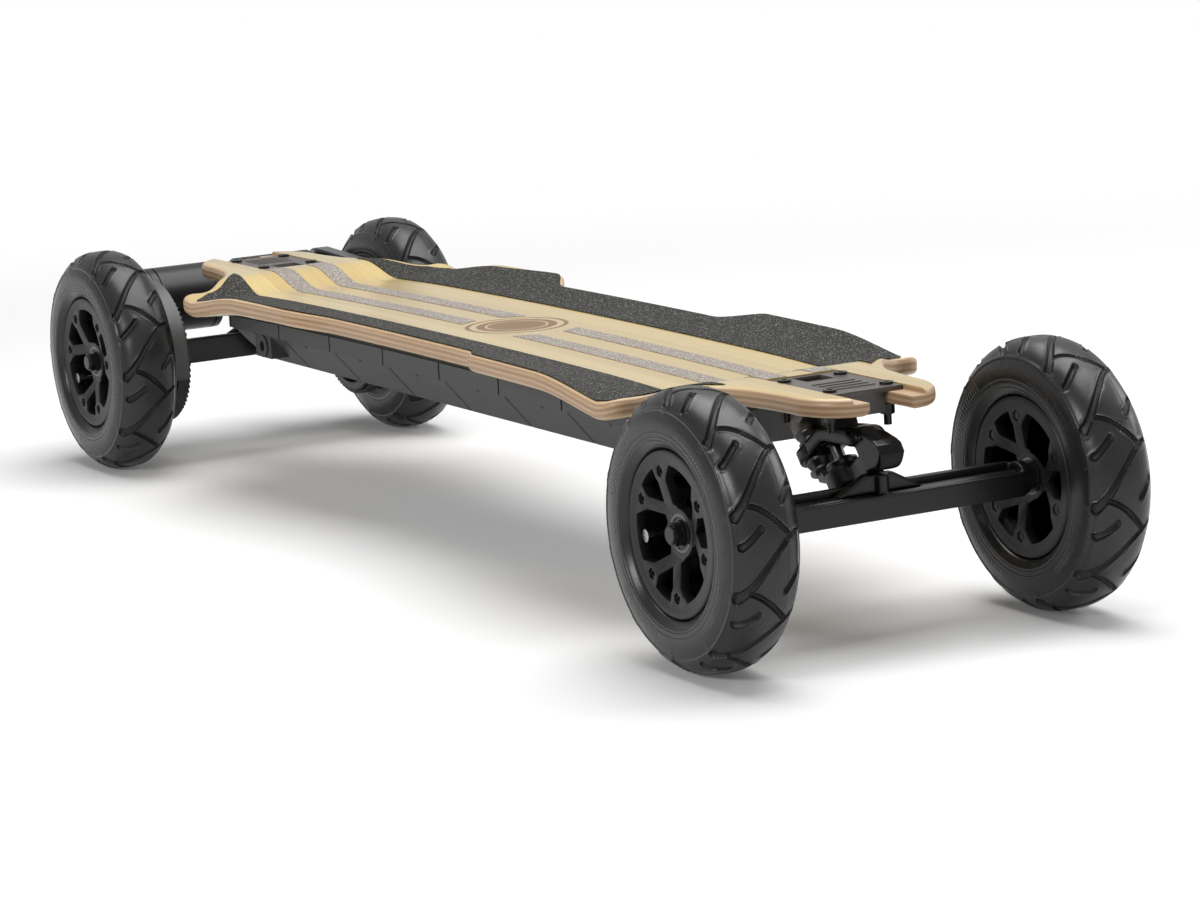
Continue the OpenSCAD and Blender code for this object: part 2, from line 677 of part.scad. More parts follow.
// Hanger: channel-shaped bar with a web, a half-round stem and the pivot arm
cup_up = 4;
low_nose_a = [cap_a - ring_step_a - 9, cap_a - ring_step_a + 12];
web_x = [-4, 3];
web_up = 17.5;
stem_r = 4.5;
module front_hanger() {
    color("dimgray") difference() {
        union() {
            translate([axle_x, 0, axle_z]) side_cut(-bar_w / 2, bar_w / 2) polygon([
                [-bar_back, -bar_low], [bar_front, -bar_low], [bar_front, bar_h - bar_low],
                [bar_front - bar_wall, bar_h - bar_low], [bar_front - bar_wall, 1],
                [-bar_back + bar_wall + 2, 1], [-bar_back + bar_wall + 2, rib_up], [-bar_back, rib_up]]);
            // web across the channel
            translate([axle_x + web_x[0], 0, axle_z]) rotate([90, 0, 90])
                linear_extrude(web_x[1] - web_x[0])
                    polygon([[-36, 0], [36, 0], [36, 3], [10, web_up], [-10, web_up], [-36, 3]]);
            translate([axle_x + web_x[1] + 1, 0, axle_z]) cylinder(r = stem_r, h = web_up);
            // round end bosses that carry the axle
            both_sides() translate([axle_x, bar_w / 2 - 1, axle_z]) rotate([-90, 0, 0])
                cylinder(r = axle_r + 5, h = 1 + boss_out);
            tilt_low() {
                translate([0, 0, -ring_t / 2]) cylinder(d = ring_d, h = ring_t + cup_up);
                along_a(low_nose_a[0], low_nose_a[1], nose_r);
            }
            // arm from the ring and the bar up to the nose
            side_cut(-nose_r, nose_r) polygon([
                low_point(ring_d / 2 - 4, -ring_t / 2), low_point(ring_d / 2 - 1, 4.5),
                low_point(low_nose_a[0], nose_r - 1), low_point(low_nose_a[0] + 7, nose_r - 1),
                low_point(low_nose_a[0] + 7, -nose_r + 1),
                [axle_x + 1, axle_z + web_up - 1], [axle_x + 1, axle_z], [axle_x - bar_back + 1, axle_z - 8]]);
        }
        tilt_low() {
            translate([0, 0, -30]) cylinder(r = bore_r, h = 60);
            translate([0, 0, ring_t / 2]) cylinder(d = bushing_d + 3, h = 20);
            translate([0, 0, -stack_n - rock_gap]) cylinder(
                r = bushing_d / 2 + rock_gap, h = stack_n + rock_gap - ring_t / 2);
        }
        translate([axle_x, -bar_w, axle_z]) rotate([-90, 0, 0]) cylinder(r = axle_r + fit_gap, h = 2 * bar_w);
    }
}
// A point of the tilted frame at the axle ring, in x and z
function low_point(a, n) = [
    ring_x + (ring_step_a + a) * cos(truck_angle) - (n - ring_step_n) * sin(truck_angle),
    ring_z + (ring_step_a + a) * sin(truck_angle) + (n - ring_step_n) * cos(truck_angle)];
module front_axle_bushings() { tilt_low() bushings(); }

// Axle with its spacers and nuts
module front_axle() {
    color("silver") translate([axle_x, 0, axle_z]) {
        translate([0, -axle_l / 2, 0]) rotate([-90, 0, 0]) cylinder(r = axle_r, h = axle_l);
        both_sides() {
            translate([0, bar_w / 2 + boss_out + EPS, 0]) rotate([-90, 0, 0])
                ring(axle_r + 2.5, axle_r - EPS, hub_in - bar_w / 2 - boss_out - soft_gap);
            translate([0, hub_out + soft_gap, 0]) rotate([-90, 0, 0]) difference() {
                cylinder(r = 9.4, h = 6.5, $fn = hex_fn);
                translate([0, 0, -1]) cylinder(r = axle_r - EPS, h = 9);
            }
        }
    }
}

// The rear truck is the front one turned round
module rear_baseplate() { mirror([1, 0, 0]) front_baseplate(); }
module rear_deck_kingpin() { mirror([1, 0, 0]) front_deck_kingpin(); }
module rear_deck_bushings() { mirror([1, 0, 0]) front_deck_bushings(); }
module rear_link() { mirror([1, 0, 0]) front_link(); }
module rear_axle_kingpin() { mirror([1, 0, 0]) front_axle_kingpin(); }
module rear_hanger() { mirror([1, 0, 0]) front_hanger(); }
module rear_axle_bushings() { mirror([1, 0, 0]) front_axle_bushings(); }
module rear_axle() { mirror([1, 0, 0]) front_axle(); }

// Wheels
module wheel_place(end, side) {
    turn = WHEEL_TURNS[(end == "front" ? 0 : 2) + (side == "left" ? 0 : 1)];
    translate([end == "front" ? axle_x : -axle_x, side == "left" ? track / 2 : -track / 2, axle_z])
        rotate([side == "left" ? -90 : 90, 0, 0]) rotate([0, 0, turn]) children();
}
// Half of the tyre's section: full round below the tread, drawn in to the bead
round_power = 2.6;
tyre_mid_r = tyre_r - 28;
function crown(grow) = [for (g = [90 : -7.5 : 0])
    [tyre_mid_r + (tyre_r - tyre_mid_r - grow) * pow(sin(g), 2 / round_power),
     (tyre_w / 2 - grow) * pow(cos(g), 2 / round_power)]];
function flipped(points) = [for (p = points) [p[0], -p[1]]];
bead_out = rim_half - rim_wall - soft_gap;
tyre_outer = concat(crown(0), [[tyre_mid_r - 3.5, tyre_w / 2 - 1], [bead_r + lip_h + 1, rim_half - 0.2],
    [bead_r + lip_h + 0.5, bead_out], [bead_r + soft_gap, bead_out]]);
tyre_inner = concat(crown(tyre_wall), [[tyre_mid_r - 5, tyre_w / 2 - tyre_wall - 2],
    [bead_r + 2, bead_out - tyre_wall], [bead_r + soft_gap, bead_out - tyre_wall]]);
module tyre() {
    color("black") rotate_extrude($fn = 96)
        polygon(concat(tyre_outer, backwards(tyre_inner), slice(flipped(tyre_inner), 1),
                       backwards(slice(flipped(tyre_outer), 1))));
}
function slice(points, from) = [for (i = [from : len(points) - 1]) points[i]];

tube_wall = 1.2;
tube_out = slice(crown(tyre_wall + soft_gap), 0);
tube_low = bead_r + 2.5;
module tube() {
    outer = concat(tube_out, [[tube_low + 3, bead_out - tyre_wall - 1.5], [tube_low, 9]]);
    inner = concat(crown(tyre_wall + soft_gap + tube_wall),
                   [[tube_low + 3.6, bead_out - tyre_wall - 3], [tube_low + tube_wall, 8.4]]);
    color("gray") {
        difference() {
            rotate_extrude($fn = 96) polygon(concat(outer, backwards(slice(flipped(outer), 1))));
            rotate_extrude($fn = 96) polygon(concat(inner, backwards(slice(flipped(inner), 1))));
        }
        // valve: in through the drum, then out through a window
        rotate([0, 0, valve_at[1]]) {
            translate([valve_at[0], 0, valve_at[2]]) rotate([0, 90, 0])
                cylinder(r = valve_r, h = tube_low + 0.5 - valve_at[0]);
            translate([valve_at[0], 0, valve_at[2] - valve_r]) cylinder(r = valve_r, h = 10);
            translate([valve_at[0], 0, valve_at[2] + 7]) cylinder(r = 4, h = 5);
        }
    }
}

// A wheel's two rim halves are the same casting: drum, lip, hub and three
// spokes that fork to a pair of bolts each. z runs out from the seam.
fork_turn = 24;
function spoke_turn(i) = i * 120;
module spoke_plan() {
    difference() {
        circle(r = drum_r + 1);
        intersection() {
            circle(r = window_r);
            for (i = [0 : 2]) rotate(spoke_turn(i)) {
                polygon([[22.5, 0], [32.5, 8.7], [window_r, 9.4], [window_r, -9.4], [32.5, -8.7]]);
                rotate(60) polygon([[14, 12], [28, 16.5], [window_r, 13.6],
                                    [window_r, -13.6], [28, -16.5], [14, -12]]);
            }
        }
        circle(r = hub_r - 1);
    }
}
module rim_bolt_places() {
    for (i = [0 : 2], s = [-1, 1]) rotate(spoke_turn(i) + s * fork_turn)
        translate([bolt_ring_r, 0, 0]) children();
}
bolt_r = 2;
head_sink = 4;
bolt_seat = ring_face - head_sink;
module rim_half_casting() {
    difference() {
        union() {
            rotate_extrude($fn = 96) polygon([
                [drum_r, fit_gap], [bead_r, fit_gap], [bead_r, rim_half - rim_wall],
                [bead_r + lip_h, rim_half - rim_wall], [bead_r + lip_h, rim_half - 0.6],
                [bead_r + lip_h - 0.8, rim_half], [bead_r + 1, rim_half], [bead_r - 0.4, ring_face],
                [drum_r, ring_face]]);
            // spokes slope in from the ring to the hub
            intersection() {
                translate([0, 0, hub_face - spoke_t - 1])
                    linear_extrude(ring_face - hub_face + spoke_t + 2) spoke_plan();
                rotate_extrude($fn = 96) polygon([
                    [0, hub_face - spoke_t], [hub_r, hub_face - spoke_t],
                    [bolt_ring_r - 5, ring_face - spoke_t], [drum_r + 1, ring_face - spoke_t],
                    [drum_r + 1, ring_face], [bolt_ring_r - 3, ring_face],
                    [hub_r + 1, hub_face - 0.5], [0, hub_face - 0.5]]);
            }
            translate([0, 0, fit_gap]) cylinder(r = hub_r, h = hub_face - fit_gap);
            rim_bolt_places() translate([0, 0, fit_gap]) cylinder(r = 5, h = bolt_seat);
        }
        translate([0, 0, -1]) cylinder(r = bearing_d / 2 - 2.5, h = 30);
        translate([0, 0, hub_face - bearing_w]) cylinder(r = bearing_d / 2, h = 20);
        rim_bolt_places() {
            translate([0, 0, -1]) cylinder(r = bolt_r + 0.1, h = 30);
            translate([0, 0, bolt_seat]) cylinder(r = 3.9, h = 10, $fn = hex_fn);
        }
    }
}
module outer_rim() {
    color("dimgray") difference() {
        rim_half_casting();
        rotate([0, 0, valve_at[1]]) translate([20, 0, valve_at[2]]) rotate([0, 90, 0])
            cylinder(r = valve_r + 0.4, h = 40);
    }
}
module inner_rim() {
    color("dimgray") mirror([0, 0, 1]) rim_half_casting();
}
module bearings() {
    color("silver") {
        for (m = [0, 1]) mirror([0, 0, m]) translate([0, 0, hub_face - bearing_w]) difference() {
            ring(bearing_d / 2 - fit_gap, axle_r + run_gap, bearing_w);
            translate([0, 0, bearing_w - 0.5]) ring(bearing_d / 2 - 2, axle_r + 2, 1);
        }
        translate([0, 0, -hub_face + bearing_w + EPS])
            ring(axle_r + 2, axle_r + run_gap, 2 * (hub_face - bearing_w - EPS));
    }
}
module rim_bolts(driven) {
    back = driven ? pulley_foot_z + 1 : -bolt_seat - 3.4;
    color("gray") rim_bolt_places() {
        translate([0, 0, back]) cylinder(r = bolt_r, h = bolt_seat - back + EPS);
        translate([0, 0, bolt_seat]) difference() {
            cylinder(r = 3.3, h = 2.6);
            translate([0, 0, 1]) cylinder(r = 1.7, h = 2, $fn = hex_fn);
        }
        if (!driven) translate([0, 0, -bolt_seat - 3]) difference() {
            cylinder(r = 3.6, h = 3, $fn = hex_fn);
            translate([0, 0, -1]) cylinder(r = bolt_r - EPS, h = 5);
        }
    }
}

// Belt drive
function belt_tooth(r, n) = [for (i = [0 : n - 1], k = [0 : 3])
    let (g = 360 / n * (i + [0, 0.42, 0.5, 0.92][k]), q = k < 2 ? r : r - 1.7) [q * cos(g), q * sin(g)]];
pulley_face_z = -(track / 2 - pulley_y[1]);
pulley_back_z = -(track / 2 - pulley_y[0]);
pulley_foot_z = pulley_face_z - 3;
pulley_hole_r = norm([bar_back, max(bar_low, rib_up)]) + 2;   // the bar runs through it
module wheel_pulley() {
    color("dimgray") difference() {
        union() {
            translate([0, 0, pulley_back_z]) linear_extrude(pulley_y[1] - pulley_y[0])
                difference() {
                    polygon(belt_tooth(wheel_pulley_r, wheel_teeth));
                    circle(r = wheel_pulley_r - 7);
                }
            translate([0, 0, pulley_foot_z]) ring(wheel_pulley_r - 6, pulley_hole_r, 3);
            rim_bolt_places() translate([0, 0, pulley_foot_z + EPS])
                cylinder(r = 5, h = -ring_face - fit_gap - pulley_foot_z);
        }
        rim_bolt_places() translate([0, 0, -50]) cylinder(r = bolt_r + 0.1, h = 60);
    }
}

// Round-ended plate about two pulley centres, r1 at the wheel and r2 at the motor.
// Its straight sides end a hair inside the circles, so that they cross them cleanly.
span = norm([motor_back, motor_up]);
tuck = 0.03;
function touch(r1, r2) = acos((r1 - r2) / span);
module two_round(r1, r2) {
    lift = atan2(motor_up, -motor_back);
    translate([-axle_x, axle_z]) {
        circle(r = r1, $fn = 96);
        translate([-motor_back, motor_up]) circle(r = r2);
        polygon([for (k = [[r1, 1, 0], [r2, 1, 1], [r2, -1, 1], [r1, -1, 0]])
            [(k[0] - tuck) * cos(lift + k[1] * touch(r1, r2)) - k[2] * motor_back,
             (k[0] - tuck) * sin(lift + k[1] * touch(r1, r2)) + k[2] * motor_up]]);
    }
}
module drive_belts() {
    inner = [wheel_pulley_r + belt_gap, motor_pulley_r + belt_gap];
    color("black") both_sides() side_cut(belt_y[0], belt_y[1]) difference() {
        two_round(inner[0] + belt_t, inner[1] + belt_t);
        two_round(inner[0], inner[1]);
    }
}

guard_r = [wheel_pulley_r + belt_gap + belt_t + guard_gap, motor_r + 0.5 - guard_wall];
guard_cut_z = axle_z - 15;
post_places = [[-4, 22], [-21, -8]];
module guard_posts(y0, y1, r) {
    for (p = post_places)
        translate([motor_x + p[0], y0, motor_z + p[1]]) rotate([-90, 0, 0]) cylinder(r = r, h = y1 - y0);
}
module belt_guards() {
    color("dimgray") both_sides() {
        difference() {
            side_cut(guard_y[0], guard_y[1]) two_round(guard_r[0] + guard_wall, guard_r[1] + guard_wall);
            side_cut(guard_y[0] - 1, guard_y[1] - guard_t) two_round(guard_r[0], guard_r[1]);
            side_cut(0, track) translate([-axle_x, axle_z]) circle(r = bolt_ring_r + 6);
            block([-axle_x - 2 * tyre_r, 0], [0, track], [-10, guard_cut_z]);
        }
        guard_posts(mount_y[1], guard_y[1] - guard_t + EPS, 3.4);
    }
}

// Mounts: clamp round the hanger bar and hold the motors by their faces
clamp_r = 19;
module motor_mounts() {
    color("dimgray") both_sides() difference() {
        side_cut(mount_y[0], mount_y[1]) difference() {
            union() {
                two_round(clamp_r, motor_r);
                translate([-axle_x, axle_z]) polygon([[-16, -17], [16, -17], [18, 4], [-16, 17]]);
            }
            translate([-axle_x, axle_z]) polygon([
                [-bar_front - fit_gap, -bar_low - fit_gap], [bar_back + fit_gap, -bar_low - fit_gap],
                [bar_back + fit_gap, rib_up + fit_gap], [-bar_front - fit_gap, rib_up + fit_gap]]);
            translate([motor_x, motor_z]) circle(r = 7.5);
        }
        for (g = [45 : 90 : 315])
            translate([motor_x + 16 * cos(g), 0, motor_z + 16 * sin(g)]) rotate([-90, 0, 0])
                cylinder(r = 2.1, h = track / 2);
    }
}
can_wall = 3;
module motor_housings() {
    color("gray") both_sides() translate([motor_x, motor_in, motor_z]) rotate([-90, 0, 0]) {
        difference() {
            cylinder(r = motor_r, h = motor_l);
            translate([0, 0, can_wall]) cylinder(r = motor_r - can_wall, h = motor_l - 2 * can_wall);
            translate([0, 0, -1]) cylinder(r = 4 + run_gap, h = motor_l + 2);
            for (z = [5, motor_l - 6.5]) translate([0, 0, z]) ring(motor_r + 1, motor_r - 1, 1.5);
        }
        for (g = [45 : 90 : 315]) rotate(g) translate([16, 0, motor_l - 0.5]) {
            cylinder(r = 2, h = 8.6);
            translate([0, 0, 8.3]) cylinder(r = 3.4, h = 2);
        }
    }
}
rotor_gap = 1;
module motor_rotor() {
    color("silver") translate([motor_x, 0, motor_z]) rotate([-90, 0, 0]) {
        translate([0, 0, motor_in - 2]) cylinder(r = 4, h = belt_y[1] - motor_in + 2.4);
        translate([0, 0, motor_in + can_wall + rotor_gap])
            cylinder(r = motor_r - can_wall - rotor_gap, h = motor_l - 2 * can_wall - 2 * rotor_gap);
        translate([0, 0, pulley_y[0] + 1.5]) linear_extrude(belt_y[1] - pulley_y[0] - 1)
            polygon(belt_tooth(motor_pulley_r, motor_teeth));
        translate([0, 0, pulley_y[0] + 0.6]) cylinder(r = motor_pulley_r + 1.4, h = 1);
    }
}

module wheel_part(part, end) {
    if (part == "tyre") tyre();
    if (part == "tube") tube();
    if (part == "outer_rim") outer_rim();
    if (part == "inner_rim") inner_rim();
    if (part == "bearings") bearings();
    if (part == "rim_bolts") rim_bolts(end == "rear");
}

deck();
grip_tape();
grit_stripes();
case_tray();
case_gasket();
case_screws();
battery_cells();
battery_monitor();
motor_controller();
charge_port();
power_button();
truck_bolts();
front_baseplate();
front_deck_kingpin();
front_deck_bushings();
front_link();
front_axle_kingpin();
front_hanger();
front_axle_bushings();
front_axle();
rear_baseplate();
rear_deck_kingpin();
rear_deck_bushings();
rear_link();
rear_axle_kingpin();
rear_hanger();
rear_axle_bushings();
rear_axle();
motor_mounts();
motor_housings();
drive_belts();
belt_guards();
for (s = SIDES) {
    mirror([0, s == "left" ? 0 : 1, 0]) motor_rotor();
    wheel_place("rear", s) wheel_pulley();
}
for (e = ENDS) for (s = SIDES) for (p = WHEEL_PARTS)
    wheel_place(e, s) wheel_part(p, e);
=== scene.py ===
# %% [markdown]
# # Dressing an electric mountainboard
# The board has a bent wooden deck with grip on its rails, a truck at each end that
# tilts on two kingpins, four air tyres on two-part rims, a battery case under the deck
# and a belt drive on each rear wheel. The frame holds its solids in metres, with +X towards
# the nose, +Y to the left and +Z up. What has the right shape keeps it and gets a finish.
# What needs softer edges, a tread or a bent sheet is made again over its solid.

# %% Load the frame
import json
import math

import bmesh
import bpy
import numpy as np
from mathutils import Matrix, Vector
from mathutils.geometry import delaunay_2d_cdt


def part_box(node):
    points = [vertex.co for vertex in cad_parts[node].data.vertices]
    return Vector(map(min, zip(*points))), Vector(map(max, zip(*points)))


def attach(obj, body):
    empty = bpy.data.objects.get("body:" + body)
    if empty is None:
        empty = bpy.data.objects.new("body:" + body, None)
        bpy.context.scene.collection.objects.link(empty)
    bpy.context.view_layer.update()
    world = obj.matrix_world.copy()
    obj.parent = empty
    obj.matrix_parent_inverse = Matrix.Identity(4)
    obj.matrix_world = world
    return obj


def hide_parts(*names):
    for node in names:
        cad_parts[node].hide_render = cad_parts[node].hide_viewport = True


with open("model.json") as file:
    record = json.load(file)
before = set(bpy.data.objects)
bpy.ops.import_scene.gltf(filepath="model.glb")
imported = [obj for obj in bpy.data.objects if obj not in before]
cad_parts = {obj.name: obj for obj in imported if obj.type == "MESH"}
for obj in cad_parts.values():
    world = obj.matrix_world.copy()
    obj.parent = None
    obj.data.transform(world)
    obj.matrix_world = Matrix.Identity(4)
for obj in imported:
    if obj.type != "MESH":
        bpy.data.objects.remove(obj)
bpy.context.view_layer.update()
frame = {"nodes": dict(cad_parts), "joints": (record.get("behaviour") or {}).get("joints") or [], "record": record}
nodes = frame["nodes"]
MM = 0.001
AXLE_X, TRACK_HALF, AXLE_Z = next(j["pos_m"] for j in frame["joints"] if j["name"] == "front_left_spin")
ENDS = {"front": 1, "rear": -1}
SIDES = {"left": 1, "right": -1}

# %% [markdown]
# The camera comes first, so that each piece can be judged in the picture as it is made.
# It stands well ahead of the board and to its right, looks slightly down, and is rolled
# a little. The long lens keeps the far wheels nearly as large as the near ones.

# %% Camera
CAMERA_PLACE = Vector((2.5445, -1.3064, 0.5673))
CAMERA_AZIMUTH = math.radians(61.77)
CAMERA_RISE = math.radians(10.16)
CAMERA_ROLL = math.radians(-3.21)
LENS_MM = 121.4
SENSOR_MM = 36.0

backward = Vector((math.sin(CAMERA_AZIMUTH) * math.cos(CAMERA_RISE),
                   -math.cos(CAMERA_AZIMUTH) * math.cos(CAMERA_RISE),
                   math.sin(CAMERA_RISE)))
level = Vector((math.cos(CAMERA_AZIMUTH), math.sin(CAMERA_AZIMUTH), 0))
above = backward.cross(level)
across = level * math.cos(CAMERA_ROLL) + above * math.sin(CAMERA_ROLL)
upward = above * math.cos(CAMERA_ROLL) - level * math.sin(CAMERA_ROLL)
lens = bpy.data.cameras.new("camera")
lens.lens = LENS_MM
lens.sensor_width = SENSOR_MM
camera = bpy.data.objects.new("camera", lens)
turned_to_board = Matrix((across, upward, backward)).transposed().to_4x4()
camera.matrix_world = Matrix.Translation(CAMERA_PLACE) @ turned_to_board
bpy.context.scene.collection.objects.link(camera)
bpy.context.scene.camera = camera
print("camera at", tuple(round(v, 3) for v in camera.location))

# %% [markdown]
# Node trees are easiest to read as sums. One small class stands for a socket, and its
# operators add the Math nodes. It serves the shaders and the geometry trees alike,
# because both use the same Math node.

# %% Sockets that work like numbers


def pick(sockets, label):
    """The socket of that name or place. Of several with one name, the one in use."""
    if isinstance(label, int):
        return sockets[label]
    return next(s for s in sockets if s.name == label and s.enabled)


def add_node(tree, kind, inputs=None, output=0, **settings):
    """Adds a node, sets or wires its inputs, and gives back one of its outputs."""
    made = tree.nodes.new(kind)
    for name, value in settings.items():
        setattr(made, name, value)
    for label, value in (inputs or {}).items():
        slot = pick(made.inputs, label)
        if isinstance(value, Value):
            tree.links.new(value.socket, slot)
        else:
            slot.default_value = value
    return Value(tree, pick(made.outputs, output))


class Value:
    """A node's output, with the arithmetic of a number."""

    def __init__(self, tree, socket):
        self.tree = tree
        self.socket = socket

    def math(self, operation, *others, clamp=False):
        inputs = dict(enumerate((self,) + others))
        return add_node(self.tree, "ShaderNodeMath", inputs, operation=operation, use_clamp=clamp)

    def __add__(self, other):
        return self.math("ADD", other)

    def __sub__(self, other):
        return self.math("SUBTRACT", other)

    def __mul__(self, other):
        return self.math("MULTIPLY", other)

    def __truediv__(self, other):
        return self.math("DIVIDE", other)

    def __pow__(self, other):
        return self.math("POWER", other)

    def __rsub__(self, other):
        return self * -1.0 + other

    __radd__ = __add__
    __rmul__ = __mul__

    def most(self, other):
        return self.math("MAXIMUM", other)

    def size(self):
        return self.math("ABSOLUTE")

    def part(self):
        return self.math("FRACT")

    def whole(self):
        return self.math("FLOOR")

    def root(self):
        return self.math("SQRT")

    def held(self):
        """Kept between 0 and 1."""
        return self.math("ADD", 0.0, clamp=True)

    def eased(self):
        """Kept between 0 and 1, with a soft start and end."""
        t = self.held()
        return t * t * (3.0 - 2.0 * t)


def parts_of(value):
    """The three numbers of a vector."""
    split = value.tree.nodes.new("ShaderNodeSeparateXYZ")
    value.tree.links.new(value.socket, split.inputs[0])
    return [Value(value.tree, s) for s in split.outputs]


def vector(tree, x, y, z):
    return add_node(tree, "ShaderNodeCombineXYZ", {0: x, 1: y, 2: z})


def span(a, b):
    """The length of a step that goes a one way and b square to it."""
    return (a * a + b * b).root()


def past(value, start, over=0.5 * MM):
    """0 before the start, and 1 once the value is past it by that much."""
    return ((value - start) / over).held()


def short_of(value, end, over=0.5 * MM):
    """1 until the value comes within that much of the end, and 0 past the end."""
    return ((end - value) / over).held()


print("sockets take:", [name for name in vars(Value) if name.startswith("__r")])

# %% [markdown]
# Every finish starts the same way: one Principled shader, coordinates that stay with the
# piece, and a few helpers for noise, mixed colours and bump. A number that is the same
# all over a surface is set on the shader itself.

# %% Start of a finish
MIX_FACTOR = 0
MIX_COLOURS = (6, 7)
MIX_RESULT = 2


class Finish:
    """A material being built on one Principled shader."""

    def __init__(self, name, roughness=0.5, metallic=0.0, specular=0.5, coat_roughness=0.1):
        self.material = bpy.data.materials.new(name)
        self.material.use_nodes = True
        self.tree = self.material.node_tree
        self.shader = self.tree.nodes["Principled BSDF"]
        self.shader.inputs["Roughness"].default_value = roughness
        self.shader.inputs["Metallic"].default_value = metallic
        self.shader.inputs["Specular IOR Level"].default_value = specular
        self.shader.inputs["Coat Roughness"].default_value = coat_roughness
        self.place = add_node(self.tree, "ShaderNodeTexCoord", output="Object")

    def noise(self, scale, detail=3.0, rough=0.55, stretch=(1, 1, 1)):
        """Noise of about that many lumps a metre, drawn out along the axes."""
        scaled = add_node(self.tree, "ShaderNodeMapping", {"Vector": self.place, "Scale": stretch})
        inputs = {"Vector": scaled, "Scale": scale, "Detail": detail, "Roughness": rough}
        return add_node(self.tree, "ShaderNodeTexNoise", inputs)

    def streaks(self, *stretch, **more):
        """Noise that is set by its stretch alone: lumps a metre along each axis."""
        return self.noise(1.0, stretch=stretch, **more)

    def chance(self, number):
        """A random value that is the same wherever the number is."""
        return add_node(self.tree, "ShaderNodeTexWhiteNoise", {"W": number}, output="Value",
                        noise_dimensions="1D")

    def attribute(self, name):
        return add_node(self.tree, "ShaderNodeAttribute", output="Fac", attribute_name=name)

    def mix(self, amount, first, second):
        inputs = {MIX_FACTOR: amount, MIX_COLOURS[0]: first, MIX_COLOURS[1]: second}
        return add_node(self.tree, "ShaderNodeMix", inputs, output=MIX_RESULT, data_type="RGBA")

    def set(self, name, value):
        self.tree.links.new(value.socket, self.shader.inputs[name])

    def bump(self, height, distance, strength=1.0):
        inputs = {"Height": height, "Distance": distance, "Strength": strength}
        self.set("Normal", add_node(self.tree, "ShaderNodeBump", inputs, output="Normal"))


def dimmed(colour, share):
    """The same colour with only a share of its light."""
    return tuple(part * share for part in colour[:3]) + (1.0,)


print("a finish can add:", [name for name in vars(Finish) if not name.startswith("_")])

# %% [markdown]
# Most metal and plastic here is a satin black. What sets one apart from another is its
# shade, its gloss and how coarse its grain is, so one function makes them all from a few
# sizes. The grain is a fine bump, and a slow noise lets the gloss drift a little.

# %% Satin coatings and mouldings
DRIFT_LUMPS = 28.0
DRIFT = 0.08
STAIN_LUMPS = 90.0
ROUND_LINES = (60.0, 2600.0, 60.0)


def satin(name, colour, roughness, grain, depth, specular=0.5):
    """A dark surface with a fine grain: grain is lumps a metre, depth is in metres."""
    f = Finish(name, roughness, specular=specular)
    slow = f.noise(DRIFT_LUMPS, detail=4.0)
    fine = f.noise(grain, detail=2.0)
    f.set("Base Color", f.mix(slow, dimmed(colour, 0.78), colour))
    f.set("Roughness", roughness + DRIFT * (slow - 0.5) + 0.06 * (fine - 0.5))
    f.bump(fine, depth, 0.6)
    return f.material


def turned(name, colour, roughness, metallic=1.0):
    """Metal with fine lines round the Y axis, as off a lathe."""
    f = Finish(name, roughness, metallic)
    streak = f.streaks(*ROUND_LINES, detail=2.0)
    stain = f.noise(STAIN_LUMPS, detail=4.0)
    f.set("Base Color", f.mix(stain, dimmed(colour, 0.72), colour))
    f.set("Roughness", roughness + 0.16 * (streak - 0.5) + 0.1 * (stain - 0.5))
    f.bump(streak, 0.04 * MM, 0.5)
    return f.material


BLACK_COAT = satin("black_coat", (0.008, 0.008, 0.009, 1), 0.34, 2600.0, 0.02 * MM, specular=0.38)
CAST_COAT = satin("cast_coat", (0.004, 0.004, 0.0045, 1), 0.22, 1300.0, 0.03 * MM, specular=0.20)
RIM_NYLON = satin("rim_nylon", (0.010, 0.010, 0.0105, 1), 0.40, 2200.0, 0.04 * MM, specular=0.34)
CASE_PLASTIC = satin("case_plastic", (0.040, 0.040, 0.042, 1), 0.46, 3000.0, 0.05 * MM, specular=0.40)
GUARD_PLASTIC = satin("guard_plastic", (0.085, 0.085, 0.086, 1), 0.44, 2400.0, 0.05 * MM)
PULLEY_PLASTIC = satin("pulley_plastic", (0.020, 0.020, 0.021, 1), 0.46, 2400.0, 0.05 * MM)
MOTOR_COAT = satin("motor_coat", (0.011, 0.0105, 0.0105, 1), 0.36, 2000.0, 0.03 * MM, specular=0.34)
PLATE_COAT = satin("plate_coat", (0.085, 0.074, 0.068, 1), 0.34, 1500.0, 0.05 * MM)
SOFT_BLACK = satin("soft_black", (0.014, 0.014, 0.014, 1), 0.62, 900.0, 0.10 * MM)
BUSHING_RUBBER = satin("bushing_rubber", (0.012, 0.012, 0.012, 1), 0.30, 700.0, 0.04 * MM)
SOCKET_PLASTIC = satin("socket_plastic", (0.030, 0.030, 0.032, 1), 0.40, 2500.0, 0.03 * MM)
BUTTON_PLASTIC = satin("button_plastic", (0.34, 0.022, 0.018, 1), 0.30, 2500.0, 0.02 * MM)
CELL_WRAP = satin("cell_wrap", (0.055, 0.24, 0.17, 1), 0.34, 1200.0, 0.02 * MM)
BOARD_MASK = satin("board_mask", (0.012, 0.10, 0.035, 1), 0.32, 1600.0, 0.03 * MM)
ZINC = turned("zinc", (0.46, 0.46, 0.48, 1), 0.34)
BLACK_STEEL = turned("black_steel", (0.022, 0.022, 0.023, 1), 0.30, metallic=0.5)
DARK_ZINC = turned("dark_zinc", (0.10, 0.10, 0.105, 1), 0.34)
print("materials so far:", len(bpy.data.materials))

# %% [markdown]
# The tube hides in the tyre, but its valve stands in a window of the rim. Both are one
# solid, so the finish turns from rubber to metal where a point comes near the axle.

